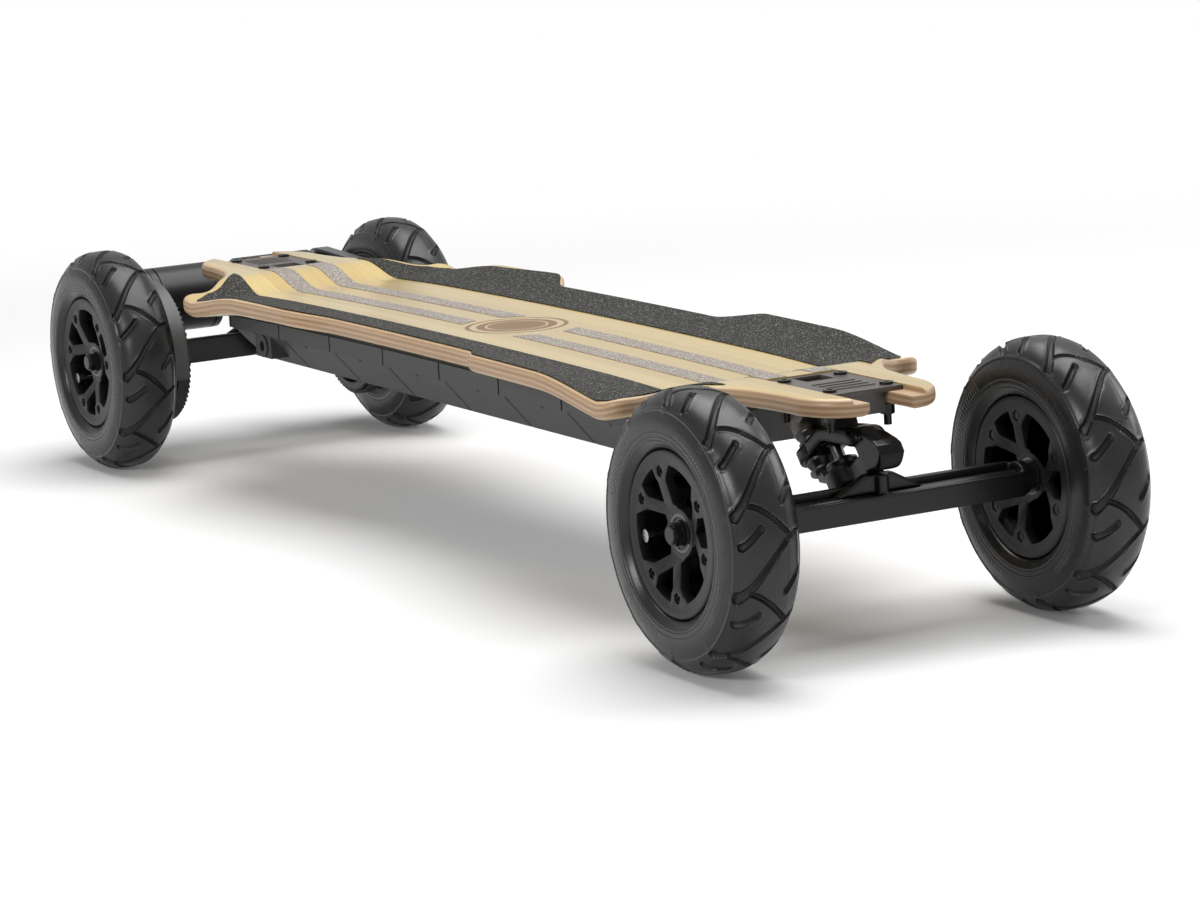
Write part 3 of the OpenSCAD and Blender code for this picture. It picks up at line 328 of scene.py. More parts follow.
# %% Inner tube and its valve
VALVE_REACH = 45 * MM
KNURL = (900.0, 60.0, 900.0)
TUBE_BLACK = (0.028, 0.028, 0.028, 1)
VALVE_METAL = (0.36, 0.36, 0.37, 1)


def from_axle(f):
    """How far a point lies from the nearer axle line."""
    x, _, z = parts_of(f.place)
    return span(x.size() - AXLE_X, z - AXLE_Z)


def tube_rubber():
    """Soft rubber, but bright metal where the valve stands inside the rim."""
    f = Finish("tube_rubber", 0.60)
    valve = short_of(from_axle(f), VALVE_REACH)
    knurl = f.streaks(*KNURL)
    grain = f.noise(900.0)
    f.set("Base Color", f.mix(valve, TUBE_BLACK, VALVE_METAL))
    f.set("Metallic", valve)
    f.set("Roughness", 0.60 - 0.34 * valve + 0.08 * (grain - 0.5))
    f.bump(grain + knurl * valve, 0.06 * MM, 0.6)
    return f.material


TUBE_RUBBER = tube_rubber()
print("valve metal inside a radius of", VALVE_REACH)

# %% [markdown]
# A ball bearing shows two ground steel rings with a dark seal between them. The three are
# told apart by how far a point lies from the axle, so one finish covers the whole solid.

# %% Ball bearings
SEAL = (8.3 * MM, 10.4 * MM)
SEAL_STEP = 0.15 * MM
LATHE_LINES = 9000.0
STEEL = ((0.07, 0.07, 0.072, 1), (0.13, 0.13, 0.134, 1))
SEAL_BLACK = (0.006, 0.006, 0.006, 1)


def bearing_steel():
    """Bright rings and a dark seal, with fine lines round the axle."""
    f = Finish("bearing_steel", 0.24, 1.0)
    reach = from_axle(f)
    seal = past(reach, SEAL[0], SEAL_STEP) * short_of(reach, SEAL[1], SEAL_STEP)
    grain = f.noise(2600.0, detail=2.0)
    lines = (reach * LATHE_LINES).part()
    f.set("Base Color", f.mix(seal, f.mix(grain, *STEEL), SEAL_BLACK))
    f.set("Metallic", 1.0 - seal)
    f.set("Roughness", 0.22 + 0.12 * (grain - 0.5) + 0.2 * seal)
    f.bump(lines * 0.3 + grain * 0.3, 0.03 * MM, 0.5)
    return f.material


BEARING_STEEL = bearing_steel()
print("bearing seal from", SEAL[0], "to", SEAL[1])

# %% [markdown]
# A solid's name ends with what it is, such as hanger or tube, and starts with where it
# is. So one table from endings to finishes dresses both trucks and all four wheels.

# %% Finishes onto the solids
FINISH_OF = {
    "case_tray": CASE_PLASTIC, "case_gasket": SOFT_BLACK, "case_screws": BLACK_STEEL,
    "battery_cells": CELL_WRAP, "battery_monitor": BOARD_MASK, "motor_controller": MOTOR_COAT,
    "charge_port": SOCKET_PLASTIC, "power_button": BUTTON_PLASTIC, "truck_bolts": BLACK_STEEL,
    "motor_mounts": BLACK_COAT, "motor_housings": MOTOR_COAT, "motor_rotor": ZINC,
    "drive_belts": SOFT_BLACK, "belt_guards": GUARD_PLASTIC, "wheel_pulley": PULLEY_PLASTIC,
    "baseplate": PLATE_COAT, "link": CAST_COAT, "hanger": BLACK_COAT, "axle": BLACK_STEEL,
    "deck_kingpin": DARK_ZINC, "deck_bushings": BUSHING_RUBBER,
    "axle_kingpin": DARK_ZINC, "axle_bushings": BUSHING_RUBBER,
    "tube": TUBE_RUBBER, "outer_rim": RIM_NYLON, "inner_rim": RIM_NYLON,
    "bearings": BEARING_STEEL, "rim_bolts": BLACK_STEEL}


def dress(finishes):
    """Gives each solid the finish of its ending, and returns the names of those solids."""
    dressed = []
    for name, solid in nodes.items():
        kind = next((k for k in finishes if name == k or name.endswith("_" + k)), None)
        if kind:
            solid.data.materials.clear()
            solid.data.materials.append(finishes[kind])
            dressed.append(name)
    return dressed


print("solids with a finish:", len(dress(FINISH_OF)))

# %% [markdown]
# The deck is seven plies of bamboo and wood, pressed in a mould. Between the trucks it
# lies lower, with a slight arch and with its rails curled up. A short slope climbs to a
# flat platform at each end, which forks round the truck. The same rule gives the height
# of every sheet on it.

# %% Height of the deck
DECK_T = 12 * MM
PLATFORM_Z = AXLE_Z + 69 * MM
MIDDLE_Z = PLATFORM_Z - 8.5 * MM
WELL_Z = PLATFORM_Z - 11.5 * MM
WELL_X = AXLE_X - 150 * MM
SHOULDER_X = AXLE_X - 99 * MM
FLAT_Y = 35 * MM
RAIL_CURL = 1.7
CURL_FADE = (240 * MM, 352 * MM)


def ease(t):
    t = np.clip(t, 0, 1)
    return t * t * (3 - 2 * t)


def deck_top(x, y):
    """Height of the wood's upper face above the ground."""
    ax = np.abs(x)
    arch = MIDDLE_Z - (MIDDLE_Z - WELL_Z) * (ax / WELL_X) ** 2
    slope = WELL_Z + (PLATFORM_Z - WELL_Z) * ease((ax - WELL_X) / (SHOULDER_X - WELL_X))
    curl = RAIL_CURL * (1 - ease((ax - CURL_FADE[0]) / (CURL_FADE[1] - CURL_FADE[0])))
    return np.where(ax <= WELL_X, arch, slope) + curl * np.maximum(0, np.abs(y) - FLAT_Y) ** 2


print("deck height in the middle:", round(float(deck_top(0, 0)), 4))
print("deck height at a platform:", round(PLATFORM_Z, 4))

# %% [markdown]
# The outline is drawn for one quarter and mirrored: a straight waist, a wing with a
# small corner, a curve in to the neck and a rounded prong beside the truck's slot.
# Corners are kept and long runs are split, so that a bent sheet has enough points.

# %% Outline of the deck
WAIST_HALF = 99 * MM
WING_HALF = 117 * MM
WAIST_X = (110 * MM, 155 * MM)
WING_X = 347 * MM
WING_CORNER = 12 * MM
TIP_X = 489 * MM
TIP_Y = 20 * MM
PRONG = (TIP_X - 39 * MM, 48 * MM)
NECK = (AXLE_X - 64 * MM, 53 * MM)
HIP = (WING_X + 21 * MM, 73 * MM)
WING_PULLS = ((WING_X - 3 * MM, 92 * MM), (WING_X + 6 * MM, 85 * MM))
HIP_PULLS = ((WING_X + 33 * MM, 63 * MM), (NECK[0] - 10 * MM, NECK[1] + 3 * MM))
NECK_PULLS = ((NECK[0] + 14 * MM, 50 * MM), (PRONG[0] - 12 * MM, PRONG[1]))
SLOT_X = AXLE_X - 77.5 * MM
SLOT_Y = 15.5 * MM


def bezier(a, b, c, d, count):
    """Points on a curve from a to d that is pulled towards b and c. It leaves out a."""
    t = np.linspace(0, 1, count + 1)[1:, None]
    a, b, c, d = (np.array(p) for p in (a, b, c, d))
    return list((1 - t) ** 3 * a + 3 * t * (1 - t) ** 2 * b + 3 * t * t * (1 - t) * c + t ** 3 * d)


def arc(centre, size, start, stop, count):
    """Points on a round stretch with two radii, from one angle to another in degrees."""
    g = np.radians(np.linspace(start, stop, count))
    return [np.array((centre[0] + size[0] * math.cos(a), centre[1] + size[1] * math.sin(a))) for a in g]


def quarter_outline():
    """From the end of the straight waist, on the left, to the bottom of the front slot."""
    waist = [np.array((WAIST_X[0] + t * (WAIST_X[1] - WAIST_X[0]),
                       WAIST_HALF + (WING_HALF - WAIST_HALF) * ease(t))) for t in np.linspace(0, 1, 13)]
    corner = arc((WING_X - WING_CORNER, WING_HALF - WING_CORNER), (WING_CORNER, WING_CORNER), 90, 0, 8)
    leave = (WING_X, WING_HALF - WING_CORNER - 1 * MM)
    inward = bezier(leave, *WING_PULLS, HIP, 14)
    to_neck = bezier(HIP, *HIP_PULLS, NECK, 8)
    shoulder = bezier(NECK, *NECK_PULLS, PRONG, 8)
    prong = arc((PRONG[0], TIP_Y), (TIP_X - PRONG[0], PRONG[1] - TIP_Y), 90, 0, 16)[1:]
    slot = [np.array((TIP_X, SLOT_Y)), np.array((SLOT_X, SLOT_Y))]
    return waist + corner + inward + to_neck + shoulder + prong + slot


def split_runs(points, longest):
    """Adds points on a closed outline until none of its edges is longer than that."""
    out = []
    for here, after in zip(points, points[1:] + points[:1]):
        pieces = max(1, math.ceil(float(np.linalg.norm(after - here)) / longest))
        out += [here + (after - here) * k / pieces for k in range(pieces)]
    return out


quarter = quarter_outline()
left_front = quarter[::-1]
left_rear = [p * (-1, 1) for p in quarter]
right_rear = [p * (-1, -1) for p in quarter[::-1]]
right_front = [p * (1, -1) for p in quarter]
OUTLINE_STEP = 4 * MM
deck_outline = split_runs(left_front + left_rear + right_rear + right_front, OUTLINE_STEP)
print("outline points:", len(deck_outline))

# %% [markdown]
# Wood, grip and paint are all sheets bent over the same surface. A sheet starts as its
# flat outline. Rings drawn in from the outline make the rounded edge, a triangle mesh
# fills both faces, and the rule gives each point its height.

# %% A flat outline and the points in it
FILL_STEP = 6 * MM
CLEAR_OF_EDGE = 0.55


def drawn_in(loop, distance):
    """A closed outline moved inwards. The outline runs anticlockwise."""
    p = np.array(loop)
    ahead = np.roll(p, -1, 0) - p
    ahead /= np.linalg.norm(ahead, axis=1)[:, None]
    behind = np.roll(ahead, 1, 0)
    middle = ahead + behind
    middle /= np.linalg.norm(middle, axis=1)[:, None]
    inward = np.stack((-middle[:, 1], middle[:, 0]), 1)
    lean = np.clip((middle * ahead).sum(1), 0.5, 1)
    return p + inward * (distance / lean)[:, None]


def inside(points, loop):
    """Which points lie inside a closed outline."""
    x, y = points[:, 0], points[:, 1]
    hit = np.zeros(len(points), bool)
    for a, b in zip(loop, np.roll(loop, -1, 0)):
        crosses = (a[1] > y) != (b[1] > y)
        with np.errstate(divide="ignore", invalid="ignore"):
            hit ^= crosses & (x < (b[0] - a[0]) * (y - a[1]) / (b[1] - a[1]) + a[0])
    return hit


def fill_points(loop):
    """A grid of points inside an outline, none too near its edge."""
    low, high = loop.min(0), loop.max(0)
    across_x, across_y = (np.arange(low[i], high[i], FILL_STEP) for i in range(2))
    grid_x, grid_y = np.meshgrid(across_x, across_y)
    grid = np.stack((grid_x.ravel(), grid_y.ravel()), 1)
    grid = grid[inside(grid, loop)]
    near = np.array([np.min(np.sum((loop - g) ** 2, 1)) for g in grid])
    return grid[near > (CLEAR_OF_EDGE * FILL_STEP) ** 2]


print("points inside the deck's outline:", len(fill_points(np.array(deck_outline))))

# %% [markdown]
# Several pieces below are built corner by corner, turned into a mesh and put in the
# scene. These helpers do the last steps the same way each time.

# %% From corners and faces to a piece
WELD = 0.002 * MM


def in_scene(name, data):
    """A new object in the scene that shows those data."""
    made = bpy.data.objects.new(name, data)
    bpy.context.scene.collection.objects.link(made)
    return made


def shown(name, mesh, material):
    """Puts a mesh in the scene as a finished piece."""
    mesh.materials.clear()
    mesh.materials.append(material)
    return in_scene(name, mesh)


def mesh_of(bm, name, outwards=False):
    """The mesh of what was built, with its faces turned outwards if asked."""
    if outwards:
        bmesh.ops.recalc_face_normals(bm, faces=bm.faces)
    mesh = bpy.data.meshes.new(name)
    bm.to_mesh(mesh)
    bm.free()
    return mesh


def triangles(piece):
    return sum(len(face.vertices) - 2 for face in piece.data.polygons)


def crisp(mesh, angle=38):
    """Smooth shading, with creases kept where two faces meet at more than that angle."""
    bm = bmesh.new()
    bm.from_mesh(mesh)
    for face in bm.faces:
        face.smooth = True
    for edge in bm.edges:
        edge.smooth = len(edge.link_faces) == 2 and edge.calc_face_angle(0) < math.radians(angle)
    bm.to_mesh(mesh)
    bm.free()


print("corners nearer than", WELD, "are welded")

# %% [markdown]
# The sheet is closed all round: rings of corners step over the rounded edge from the top
# face to the bottom face, and one triangle mesh fills both faces.

# %% A sheet bent over the deck
EDGE_RINGS = 5
KEEP_INSIDE = 1
NEARLY_SAME = 1e-7


def edge_rings(top, bottom, edge, steps):
    """How far in each ring of the edge lies and how high, from the top face to the bottom."""
    angles = np.linspace(0, math.pi / 2, steps)
    upper = [(edge * (1 - math.sin(a)), top - edge * (1 - math.cos(a))) for a in angles]
    lower = [(edge * (1 - math.sin(a)), bottom + edge * (1 - math.cos(a))) for a in angles[::-1]]
    return upper + lower


def bent_sheet(name, loop, top, bottom, edge, steps=EDGE_RINGS):
    """A closed sheet over the deck, between two heights above the wood, with rounded edges."""
    bm = bmesh.new()
    made = []
    for inset, height in edge_rings(top, bottom, edge, steps):
        flat = drawn_in(loop, inset)
        z = deck_top(flat[:, 0], flat[:, 1]) + height
        made.append([bm.verts.new((x, y, h)) for (x, y), h in zip(flat, z)])
    count = len(loop)
    for upper, lower in zip(made, made[1:]):
        for k in range(count):
            after = (k + 1) % count
            bm.faces.new((upper[k], lower[k], lower[after], upper[after]))
    rim = drawn_in(loop, edge)
    flat = [Vector(p) for p in np.concatenate((rim, fill_points(rim)))]
    border = [list(range(count))]
    spots, _, faces, sources, _, _ = delaunay_2d_cdt(flat, [], border, KEEP_INSIDE, NEARLY_SAME)
    for row, height, flip in ((made[0], top, False), (made[-1], bottom, True)):
        corners = []
        for spot, source in zip(spots, sources):
            if source and source[0] < count:
                corners.append(row[source[0]])
            else:
                corners.append(bm.verts.new((spot.x, spot.y, float(deck_top(spot.x, spot.y)) + height)))
        for face in faces:
            ring = [corners[i] for i in face]
            bm.faces.new(ring[::-1] if flip else ring)
    return mesh_of(bm, name, outwards=True)


print("rings round the edge of a sheet:", 2 * EDGE_RINGS)

# %% [markdown]
# The faces of the deck are bamboo, glued from strips about 20 mm wide that differ a
# little in tone, with long fibres and a faint knuckle now and then. Noise that is drawn
# out along the board gives the fibres, and a random value for each strip its tone.

# %% Bamboo of the faces
STRIP = 19 * MM
FIRST_STRIP = 40.0
KNUCKLE_EVERY = 0.23
BAMBOO = ((0.50, 0.340, 0.085, 1), (0.74, 0.575, 0.220, 1))
FIBRE_SHADE = (0.44, 0.29, 0.11, 1)
KNUCKLE_SHADE = (0.40, 0.25, 0.11, 1)
JOINT_SHADE = (0.32, 0.20, 0.08, 1)


def bamboo(f, x, y, fibre):
    """Colour of the faces."""
    strip = y / STRIP + FIRST_STRIP
    tone = f.chance(strip.whole())
    cloud = f.streaks(5.0, 22.0, 5.0)
    streak = f.streaks(3.0, 240.0, 60.0, rough=0.6)
    grain = ((streak - 0.38) * 2.4).held()
    knuckle_at = (x / KNUCKLE_EVERY + tone * 3.0).part()
    knuckle = (1.0 - (knuckle_at - 0.5).size() * 90.0).held()
    joint = (1.0 - (strip.part() - 0.5).size() * 2.0) * 24.0
    colour = f.mix((0.45 * fibre + 0.5 * tone + 0.1 * cloud).held(), *BAMBOO)
    colour = f.mix((1.0 - grain) * 0.34, colour, FIBRE_SHADE)
    colour = f.mix(knuckle * 0.40 * fibre, colour, KNUCKLE_SHADE)
    return f.mix((1.0 - joint.held()) * 0.38, colour, JOINT_SHADE)


print("strips across the deck:", math.ceil(2 * WING_HALF / STRIP))

# %% [markdown]
# The edge shows the plies. Every second one is end grain and darker, and glue shows as
# a thin dark line between two plies. The depth below the top face is a number
# stored on the sheet, so the plies follow the bend. A slow noise makes them run uneven.

# %% Plies of the edge
PLIES = 7
LONG_PLY = ((0.47, 0.31, 0.175, 1), (0.74, 0.555, 0.36, 1))
END_PLY = ((0.19, 0.090, 0.040, 1), (0.42, 0.245, 0.125, 1))
GLUE = (0.070, 0.031, 0.015, 1)
PLY_SEED = 11.0
FACE_SHARE = 0.035


def plies(f, depth):
    """Colour of the edge, and where its glue lines are."""
    sway = f.streaks(9.0, 9.0, 40.0, detail=2.0)
    band = (depth.most(0.0) ** 0.86 + 0.05 * (sway - 0.5)) * float(PLIES)
    cross = (band * 0.5).part()
    end_grain = ((cross - 0.5) * 18.0).held() * ((1.0 - cross) * 18.0).held()
    seam = (1.0 - (0.5 - (band.part() - 0.5).size()) * 20.0).held()
    along = f.streaks(26.0, 26.0, 900.0, detail=4.0, rough=0.7)
    ply = f.chance(band.whole() + PLY_SEED)
    share = (0.70 * end_grain + 0.50 * ply - 0.10).held()
    colour = f.mix(share, f.mix(along, *LONG_PLY), f.mix(along, *END_PLY))
    return f.mix(seam * (0.45 + 0.50 * ply), colour, GLUE), seam


print("a ply is about", round(DECK_T / PLIES, 5), "thick")

# %% [markdown]
# A plain medallion is burnt into the middle of the deck: a ring round a disc, and a
# thin gap in the disc. Where the base plate covers the ledge and the slot at each end,
# the shadow under the plate is painted on the wood as a near-black shade. Both are masks,
# worked out from where a point lies.

# %% Burnt medallion and painted shade under the plate
MEDALLION_X = -4 * MM
MEDALLION_RING = (35.6 * MM, 1.9 * MM)
MEDALLION_GAP = (22 * MM, 1.1 * MM)
MEDALLION_DISC = 29.5 * MM
LEDGE_DEPTH = 3.5 * MM
LEDGE_Y = 26.3 * MM
LEDGE_X = AXLE_X - 85 * MM
# Where the shade under the base plate is painted on the ledge and the slot.
SHADED_X = (LEDGE_X + 1 * MM, AXLE_X - 14 * MM)
SHADED_Y = LEDGE_Y - 1 * MM
SHADED_DEPTH = 0.92
BURNT = (0.15, 0.068, 0.030, 1)
# Painted shade: a near black that stands for the shadow under the base plate.
SHADE_UNDER_PLATE = (0.012, 0.011, 0.010, 1)


def medallion(x, y, z):
    """1 where the upper face is burnt."""
    radius = span(x - MEDALLION_X, y)
    lines = (MEDALLION_RING, MEDALLION_GAP)
    ring, gap = (short_of((radius - middle).size(), half) for middle, half in lines)
    disc = short_of(radius, MEDALLION_DISC) - gap
    return (ring + disc).held() * past(z, MIDDLE_Z - 3 * MM)


def painted_plate_shade(x, y, depth):
    """1 where the base plate covers the wood, where its shadow is painted in."""
    along_plate = past(x.size(), SHADED_X[0]) * short_of(x.size(), SHADED_X[1])
    return along_plate * short_of(y.size(), SHADED_Y) * ((SHADED_DEPTH - depth) * 60.0).held()


print("burnt out to a radius of", MEDALLION_RING[0] + MEDALLION_RING[1])

# %% [markdown]
# Clear lacquer lies on the faces, and less of it on the edge and the medallion. So the
# coat's weight goes down where the edge or the burn begins, and the roughness goes up.

# %% Wood of the deck


def deck_wood():
    f = Finish("deck_wood", 0.42, specular=0.4, coat_roughness=0.15)
    x, y, z = parts_of(f.place)
    depth = f.attribute("depth") / DECK_T
    fibre = f.streaks(14.0, 900.0, 300.0, detail=5.0, rough=0.65)
    edge, seam = plies(f, depth)
    on_edge = ((depth - FACE_SHARE) * 60.0).held() * ((1.0 - FACE_SHARE - depth) * 60.0).held()
    burnt = medallion(x, y, z)
    wood = f.mix(on_edge, bamboo(f, x, y, fibre), edge)
    wood = f.mix(burnt * 0.92, wood, BURNT)
    # Painted shade under the base plate, laid over the wood's colour.
    f.set("Base Color", f.mix(painted_plate_shade(x, y, depth), wood, SHADE_UNDER_PLATE))
    f.set("Coat Weight", 0.95 - 0.65 * on_edge - 0.75 * burnt)
    f.set("Roughness", 0.34 + 0.16 * on_edge + 0.14 * (fibre - 0.5) + 0.12 * burnt)
    f.bump(fibre * 0.5 - burnt * 1.5 - seam * on_edge * 1.2, 0.09 * MM, 0.7)
    return f.material


DECK_WOOD = deck_wood()
print("deck wood:", len(DECK_WOOD.node_tree.nodes), "nodes")

# %% [markdown]
# The deck is one bent sheet. A box cut from each end makes the ledge that the base plate
# of the truck rests in. The cut has to be exact, because the plate fits closely.

# %% The deck itself
EDGE_ROUND = 4.2 * MM
CUT_PAST = (10 * MM, 20 * MM)


def cutter_box(low, high):
    bm = bmesh.new()
    bmesh.ops.create_cube(bm, size=1.0)
    low, high = Vector(low), Vector(high)
    for vert in bm.verts:
        vert.co = Vector(tuple(low[i] + (vert.co[i] + 0.5) * (high[i] - low[i]) for i in range(3)))
    return in_scene("cutter", mesh_of(bm, "cutter"))


def ledge_cutter(way):
    """The box that is cut from the front, way 1, or from the rear, way -1."""
    low, high = sorted((way * LEDGE_X, way * (TIP_X + CUT_PAST[0])))
    return cutter_box((low, -LEDGE_Y, PLATFORM_Z - LEDGE_DEPTH), (high, LEDGE_Y, PLATFORM_Z + CUT_PAST[1]))


def baked(piece):
    """The piece's mesh with its modifiers applied."""
    graph = bpy.context.evaluated_depsgraph_get()
    mesh = bpy.data.meshes.new_from_object(piece.evaluated_get(graph))
    piece.modifiers.clear()
    piece.data = mesh
    return piece


def carve(piece, cutters):
    for cutter in cutters:
        cut = piece.modifiers.new("cut", "BOOLEAN")
        cut.operation = "DIFFERENCE"
        cut.solver = "EXACT"
        cut.object = cutter
    baked(piece)
    for cutter in cutters:
        bpy.data.objects.remove(cutter)


def mark_depth(mesh):
    """Stores on each point how far it lies below the deck's upper face."""
    co = np.zeros(len(mesh.vertices) * 3)
    mesh.vertices.foreach_get("co", co)
    co = co.reshape(-1, 3)
    depth = mesh.attributes.new("depth", "FLOAT", "POINT")
    depth.data.foreach_set("value", (deck_top(co[:, 0], co[:, 1]) - co[:, 2]).astype(np.float32))


deck = shown("deck_wood", bent_sheet("deck_wood", deck_outline, 0.0, -DECK_T, EDGE_ROUND), DECK_WOOD)
carve(deck, [ledge_cutter(way) for way in ENDS.values()])
mark_depth(deck.data)
crisp(deck.data)
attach(deck, "board")
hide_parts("deck")
print("deck triangles:", triangles(deck))

# %% [markdown]
# Grip is grit glued on a sheet. Close to, it is a field of tiny dark crystals, and a few
# of them are painted light as a glint where they would catch the light. A pattern of cells
# about 0.6 mm across gives both the bump and that painted sparkle. The pale stripes are
# the same grit in clear glue on the wood.

# %% Grip and grit
GRAIN = 1700.0


def gritty(name, base, glint_colour, share, roughness, depth):
    """Grit in glue: speck is the light colour painted on the crystals that shine, a painted glint, and share is
    how many do.
    """
    f = Finish(name, roughness, specular=0.36)
    crystals = {"Vector": f.place, "Scale": GRAIN}
    cell, dome = (add_node(f.tree, "ShaderNodeTexVoronoi", crystals, output=label)
                  for label in ("Color", "Distance"))
    tone = parts_of(cell)[0]
    slow = f.noise(35.0, detail=4.0)
    # Painted glint: the few crystals that catch the light get a light base colour.
    painted_glint = ((tone - (1.0 - share)) * 30.0).held()
    ground = f.mix((tone * 0.7 + slow * 0.5).held(), dimmed(base, 0.6), base)
    f.set("Base Color", f.mix(painted_glint, ground, glint_colour))
    f.set("Roughness", roughness - 0.35 * painted_glint)
    f.bump(1.0 - dome, depth, 0.8)
    return f.material


GRIP_TAPE = gritty("grip_tape", (0.012, 0.0115, 0.009, 1), (0.26, 0.25, 0.22, 1), 0.08, 0.80, 0.30 * MM)
PALE_GRIT = gritty("pale_grit", (0.285, 0.250, 0.215, 1), (0.64, 0.60, 0.56, 1), 0.16, 0.72, 0.22 * MM)
print("grains across the deck's waist:", round(2 * WAIST_HALF * GRAIN))

# %% [markdown]
# The grip covers each rail from wing to wing. Its outer edge is the deck's own outline
# drawn in by a small border, its inner edge is straight, and it ends in a slanted cut.
# Two pale stripes run along each half of the deck.

# %% Outlines of the grip and the stripes
GRIP_T = 0.8 * MM
GRIP_BORDER = 2.6 * MM
GRIP_REAR_BORDER = 4.5 * MM
GRIP_REAR_X = (150 * MM, 250 * MM)
GRIP_INNER_Y = 60 * MM
GRIP_END = (AXLE_X - 88 * MM, 54 * MM)
GRIP_CORNER = (WING_X - 10 * MM, 101 * MM)
STRIPE_Y = (10 * MM, 26 * MM)
STRIPE_X = (48 * MM, LEDGE_X - 1 * MM)
STRIPE_SLANT = 8 * MM
STRIPE_T = 0.35 * MM
OFF_THE_WOOD = 0.02 * MM


def grip_rail():
    """Outline of the left rail's grip: the deck's edge drawn in, cut slantwise at the wings."""
    ahead = np.array(deck_outline)[:, 0]
    share = (-ahead - GRIP_REAR_X[0]) / (GRIP_REAR_X[1] - GRIP_REAR_X[0])
    border = GRIP_BORDER + GRIP_REAR_BORDER * ease(share)
    edge = drawn_in(deck_outline, border)
    slant = (GRIP_END[0] - GRIP_CORNER[0]) / (GRIP_CORNER[1] - GRIP_END[1])
    cut = GRIP_END[0] + slant * GRIP_END[1]
    rail = [p for p in edge[:len(edge) // 2] if p[1] > GRIP_INNER_Y and abs(p[0]) + slant * p[1] < cut]
    corners = [(-GRIP_END[0], GRIP_END[1]), (-WELL_X, GRIP_INNER_Y), (WELL_X, GRIP_INNER_Y)]
    return split_runs([np.array(GRIP_END)] + rail + [np.array(c) for c in corners], OUTLINE_STEP)


def other_side(loop):
    return [p * (1, -1) for p in loop[::-1]]


left_rail = grip_rail()
stripe_corners = [(STRIPE_X[0], STRIPE_Y[0]), (STRIPE_X[1], STRIPE_Y[0]),
                  (STRIPE_X[1], STRIPE_Y[1]), (STRIPE_X[0] - STRIPE_SLANT, STRIPE_Y[1])]
stripe = split_runs([np.array(c) for c in stripe_corners], OUTLINE_STEP)
other_end = [p * (-1, 1) for p in stripe[::-1]]
print("points round a rail's grip:", len(left_rail))

# %% [markdown]
# Both rails are one piece, and the four stripes are another, because each is one layer
# of the real board. Every sheet lies a hair above the wood, so that nothing flickers.

# %% Grip rails and grit stripes


def joined(name, meshes, material):
    """Several meshes as one piece."""
    bm = bmesh.new()
    for mesh in meshes:
        bm.from_mesh(mesh)
    whole = mesh_of(bm, name)
    crisp(whole)
    return shown(name, whole, material)


rails = [bent_sheet("rail", loop, GRIP_T, OFF_THE_WOOD, 0.3 * MM, steps=3)
         for loop in (left_rail, other_side(left_rail))]
grip = joined("grip_rails", rails, GRIP_TAPE)
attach(grip, "board")
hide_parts("grip_tape")
stripe_loops = [stripe, other_side(stripe), other_end, other_side(other_end)]
stripes = [bent_sheet("stripe", loop, STRIPE_T, OFF_THE_WOOD, 0.12 * MM, steps=2) for loop in stripe_loops]
grit = joined("grit_paint", stripes, PALE_GRIT)
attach(grit, "board")
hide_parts("grit_stripes")
print("grip points:", len(grip.data.vertices), "grit points:", len(grit.data.vertices))

# %% [markdown]
# The tyre is a main piece whose shape follows a rule, so Geometry Nodes make it. A grid
# is wrapped round the axle: one way it goes round the wheel, the other way it follows
# the section. The tread repeats ten times. Each repeat has a long curved groove, a
# branching arc that meets the next long groove, and a short slot on each side.

# %% Section of the tyre
TYRE_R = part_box("front_left_tyre")[1].z / 2
TYRE_HALF = 25 * MM
CROWN_R = TYRE_R - 28 * MM
CROWN_POWER = 2.6
BEAD_R = 46.8 * MM
LIP_HEIGHT = 0.3 * MM
RIDGE_R = 76.5 * MM
RIDGE = ((1.1, 0.0), (0.6, 0.55), (0.0, 0.8), (-0.6, 0.55), (-1.1, 0.0))
BEAD_HALF = 18.2 * MM
CROWN_STEPS = 44
WALL_STEPS = ((1.8, 0.25), (3.4, 1.0), (4.4, 2.1), (5.6, 3.0), (7.0, 4.4))


def tyre_section():
    """Half a section from the crown down to the bead, then its mirror image."""
    height = TYRE_R - LIP_HEIGHT - CROWN_R
    bend = 2 / CROWN_POWER
    crown = [(CROWN_R + height * math.cos(a) ** bend, TYRE_HALF * math.sin(a) ** bend)
             for a in np.radians(np.linspace(0, 90, CROWN_STEPS))]
    for step, proud in RIDGE:
        radius = RIDGE_R + step * MM
        side = TYRE_HALF * (1 - ((radius - CROWN_R) / height) ** CROWN_POWER) ** (1 / CROWN_POWER)
        crown = [c for c in crown if abs(c[0] - radius) > 0.3 * MM] + [(radius, side + proud * MM)]
    crown.sort(reverse=True)
    wall = [(CROWN_R - down * MM, TYRE_HALF - inward * MM) for down, inward in WALL_STEPS]
    bead = [(BEAD_R + 5.4 * MM, BEAD_HALF + 0.8 * MM), (BEAD_R + 4.9 * MM, BEAD_HALF),
            (BEAD_R, BEAD_HALF), (BEAD_R, BEAD_HALF * 0.5), (BEAD_R, 0.0)]
    half = crown + wall + bead
    return [(r, -y) for r, y in half[::-1]] + half[1:]


section = tyre_section()
section_steps = [(k, k + 1) for k in range(len(section) - 1)]
section_mesh = bpy.data.meshes.new("tyre_section")
section_mesh.from_pydata([(r, y, 0.0) for r, y in section], section_steps, [])
section_line = in_scene("tyre_section", section_mesh)
print("section points:", len(section))

# %% [markdown]
# The tread could be cut with solids, which is slow and leaves poor faces. A rule is
# better: for each point it says how far inside a groove's edge the point lies. The same
# number then sets the depth of the groove here, and its shade in the rubber later.

# %% Rule of the tread
REPEATS = 10
PITCH = 360.0 / REPEATS
GROOVE_DEPTH = 2.4 * MM
GROOVE_WALL = 0.7 * MM
LIP_OUT = 0.9 * MM
MM_PER_DEGREE = TYRE_R * math.pi / 180


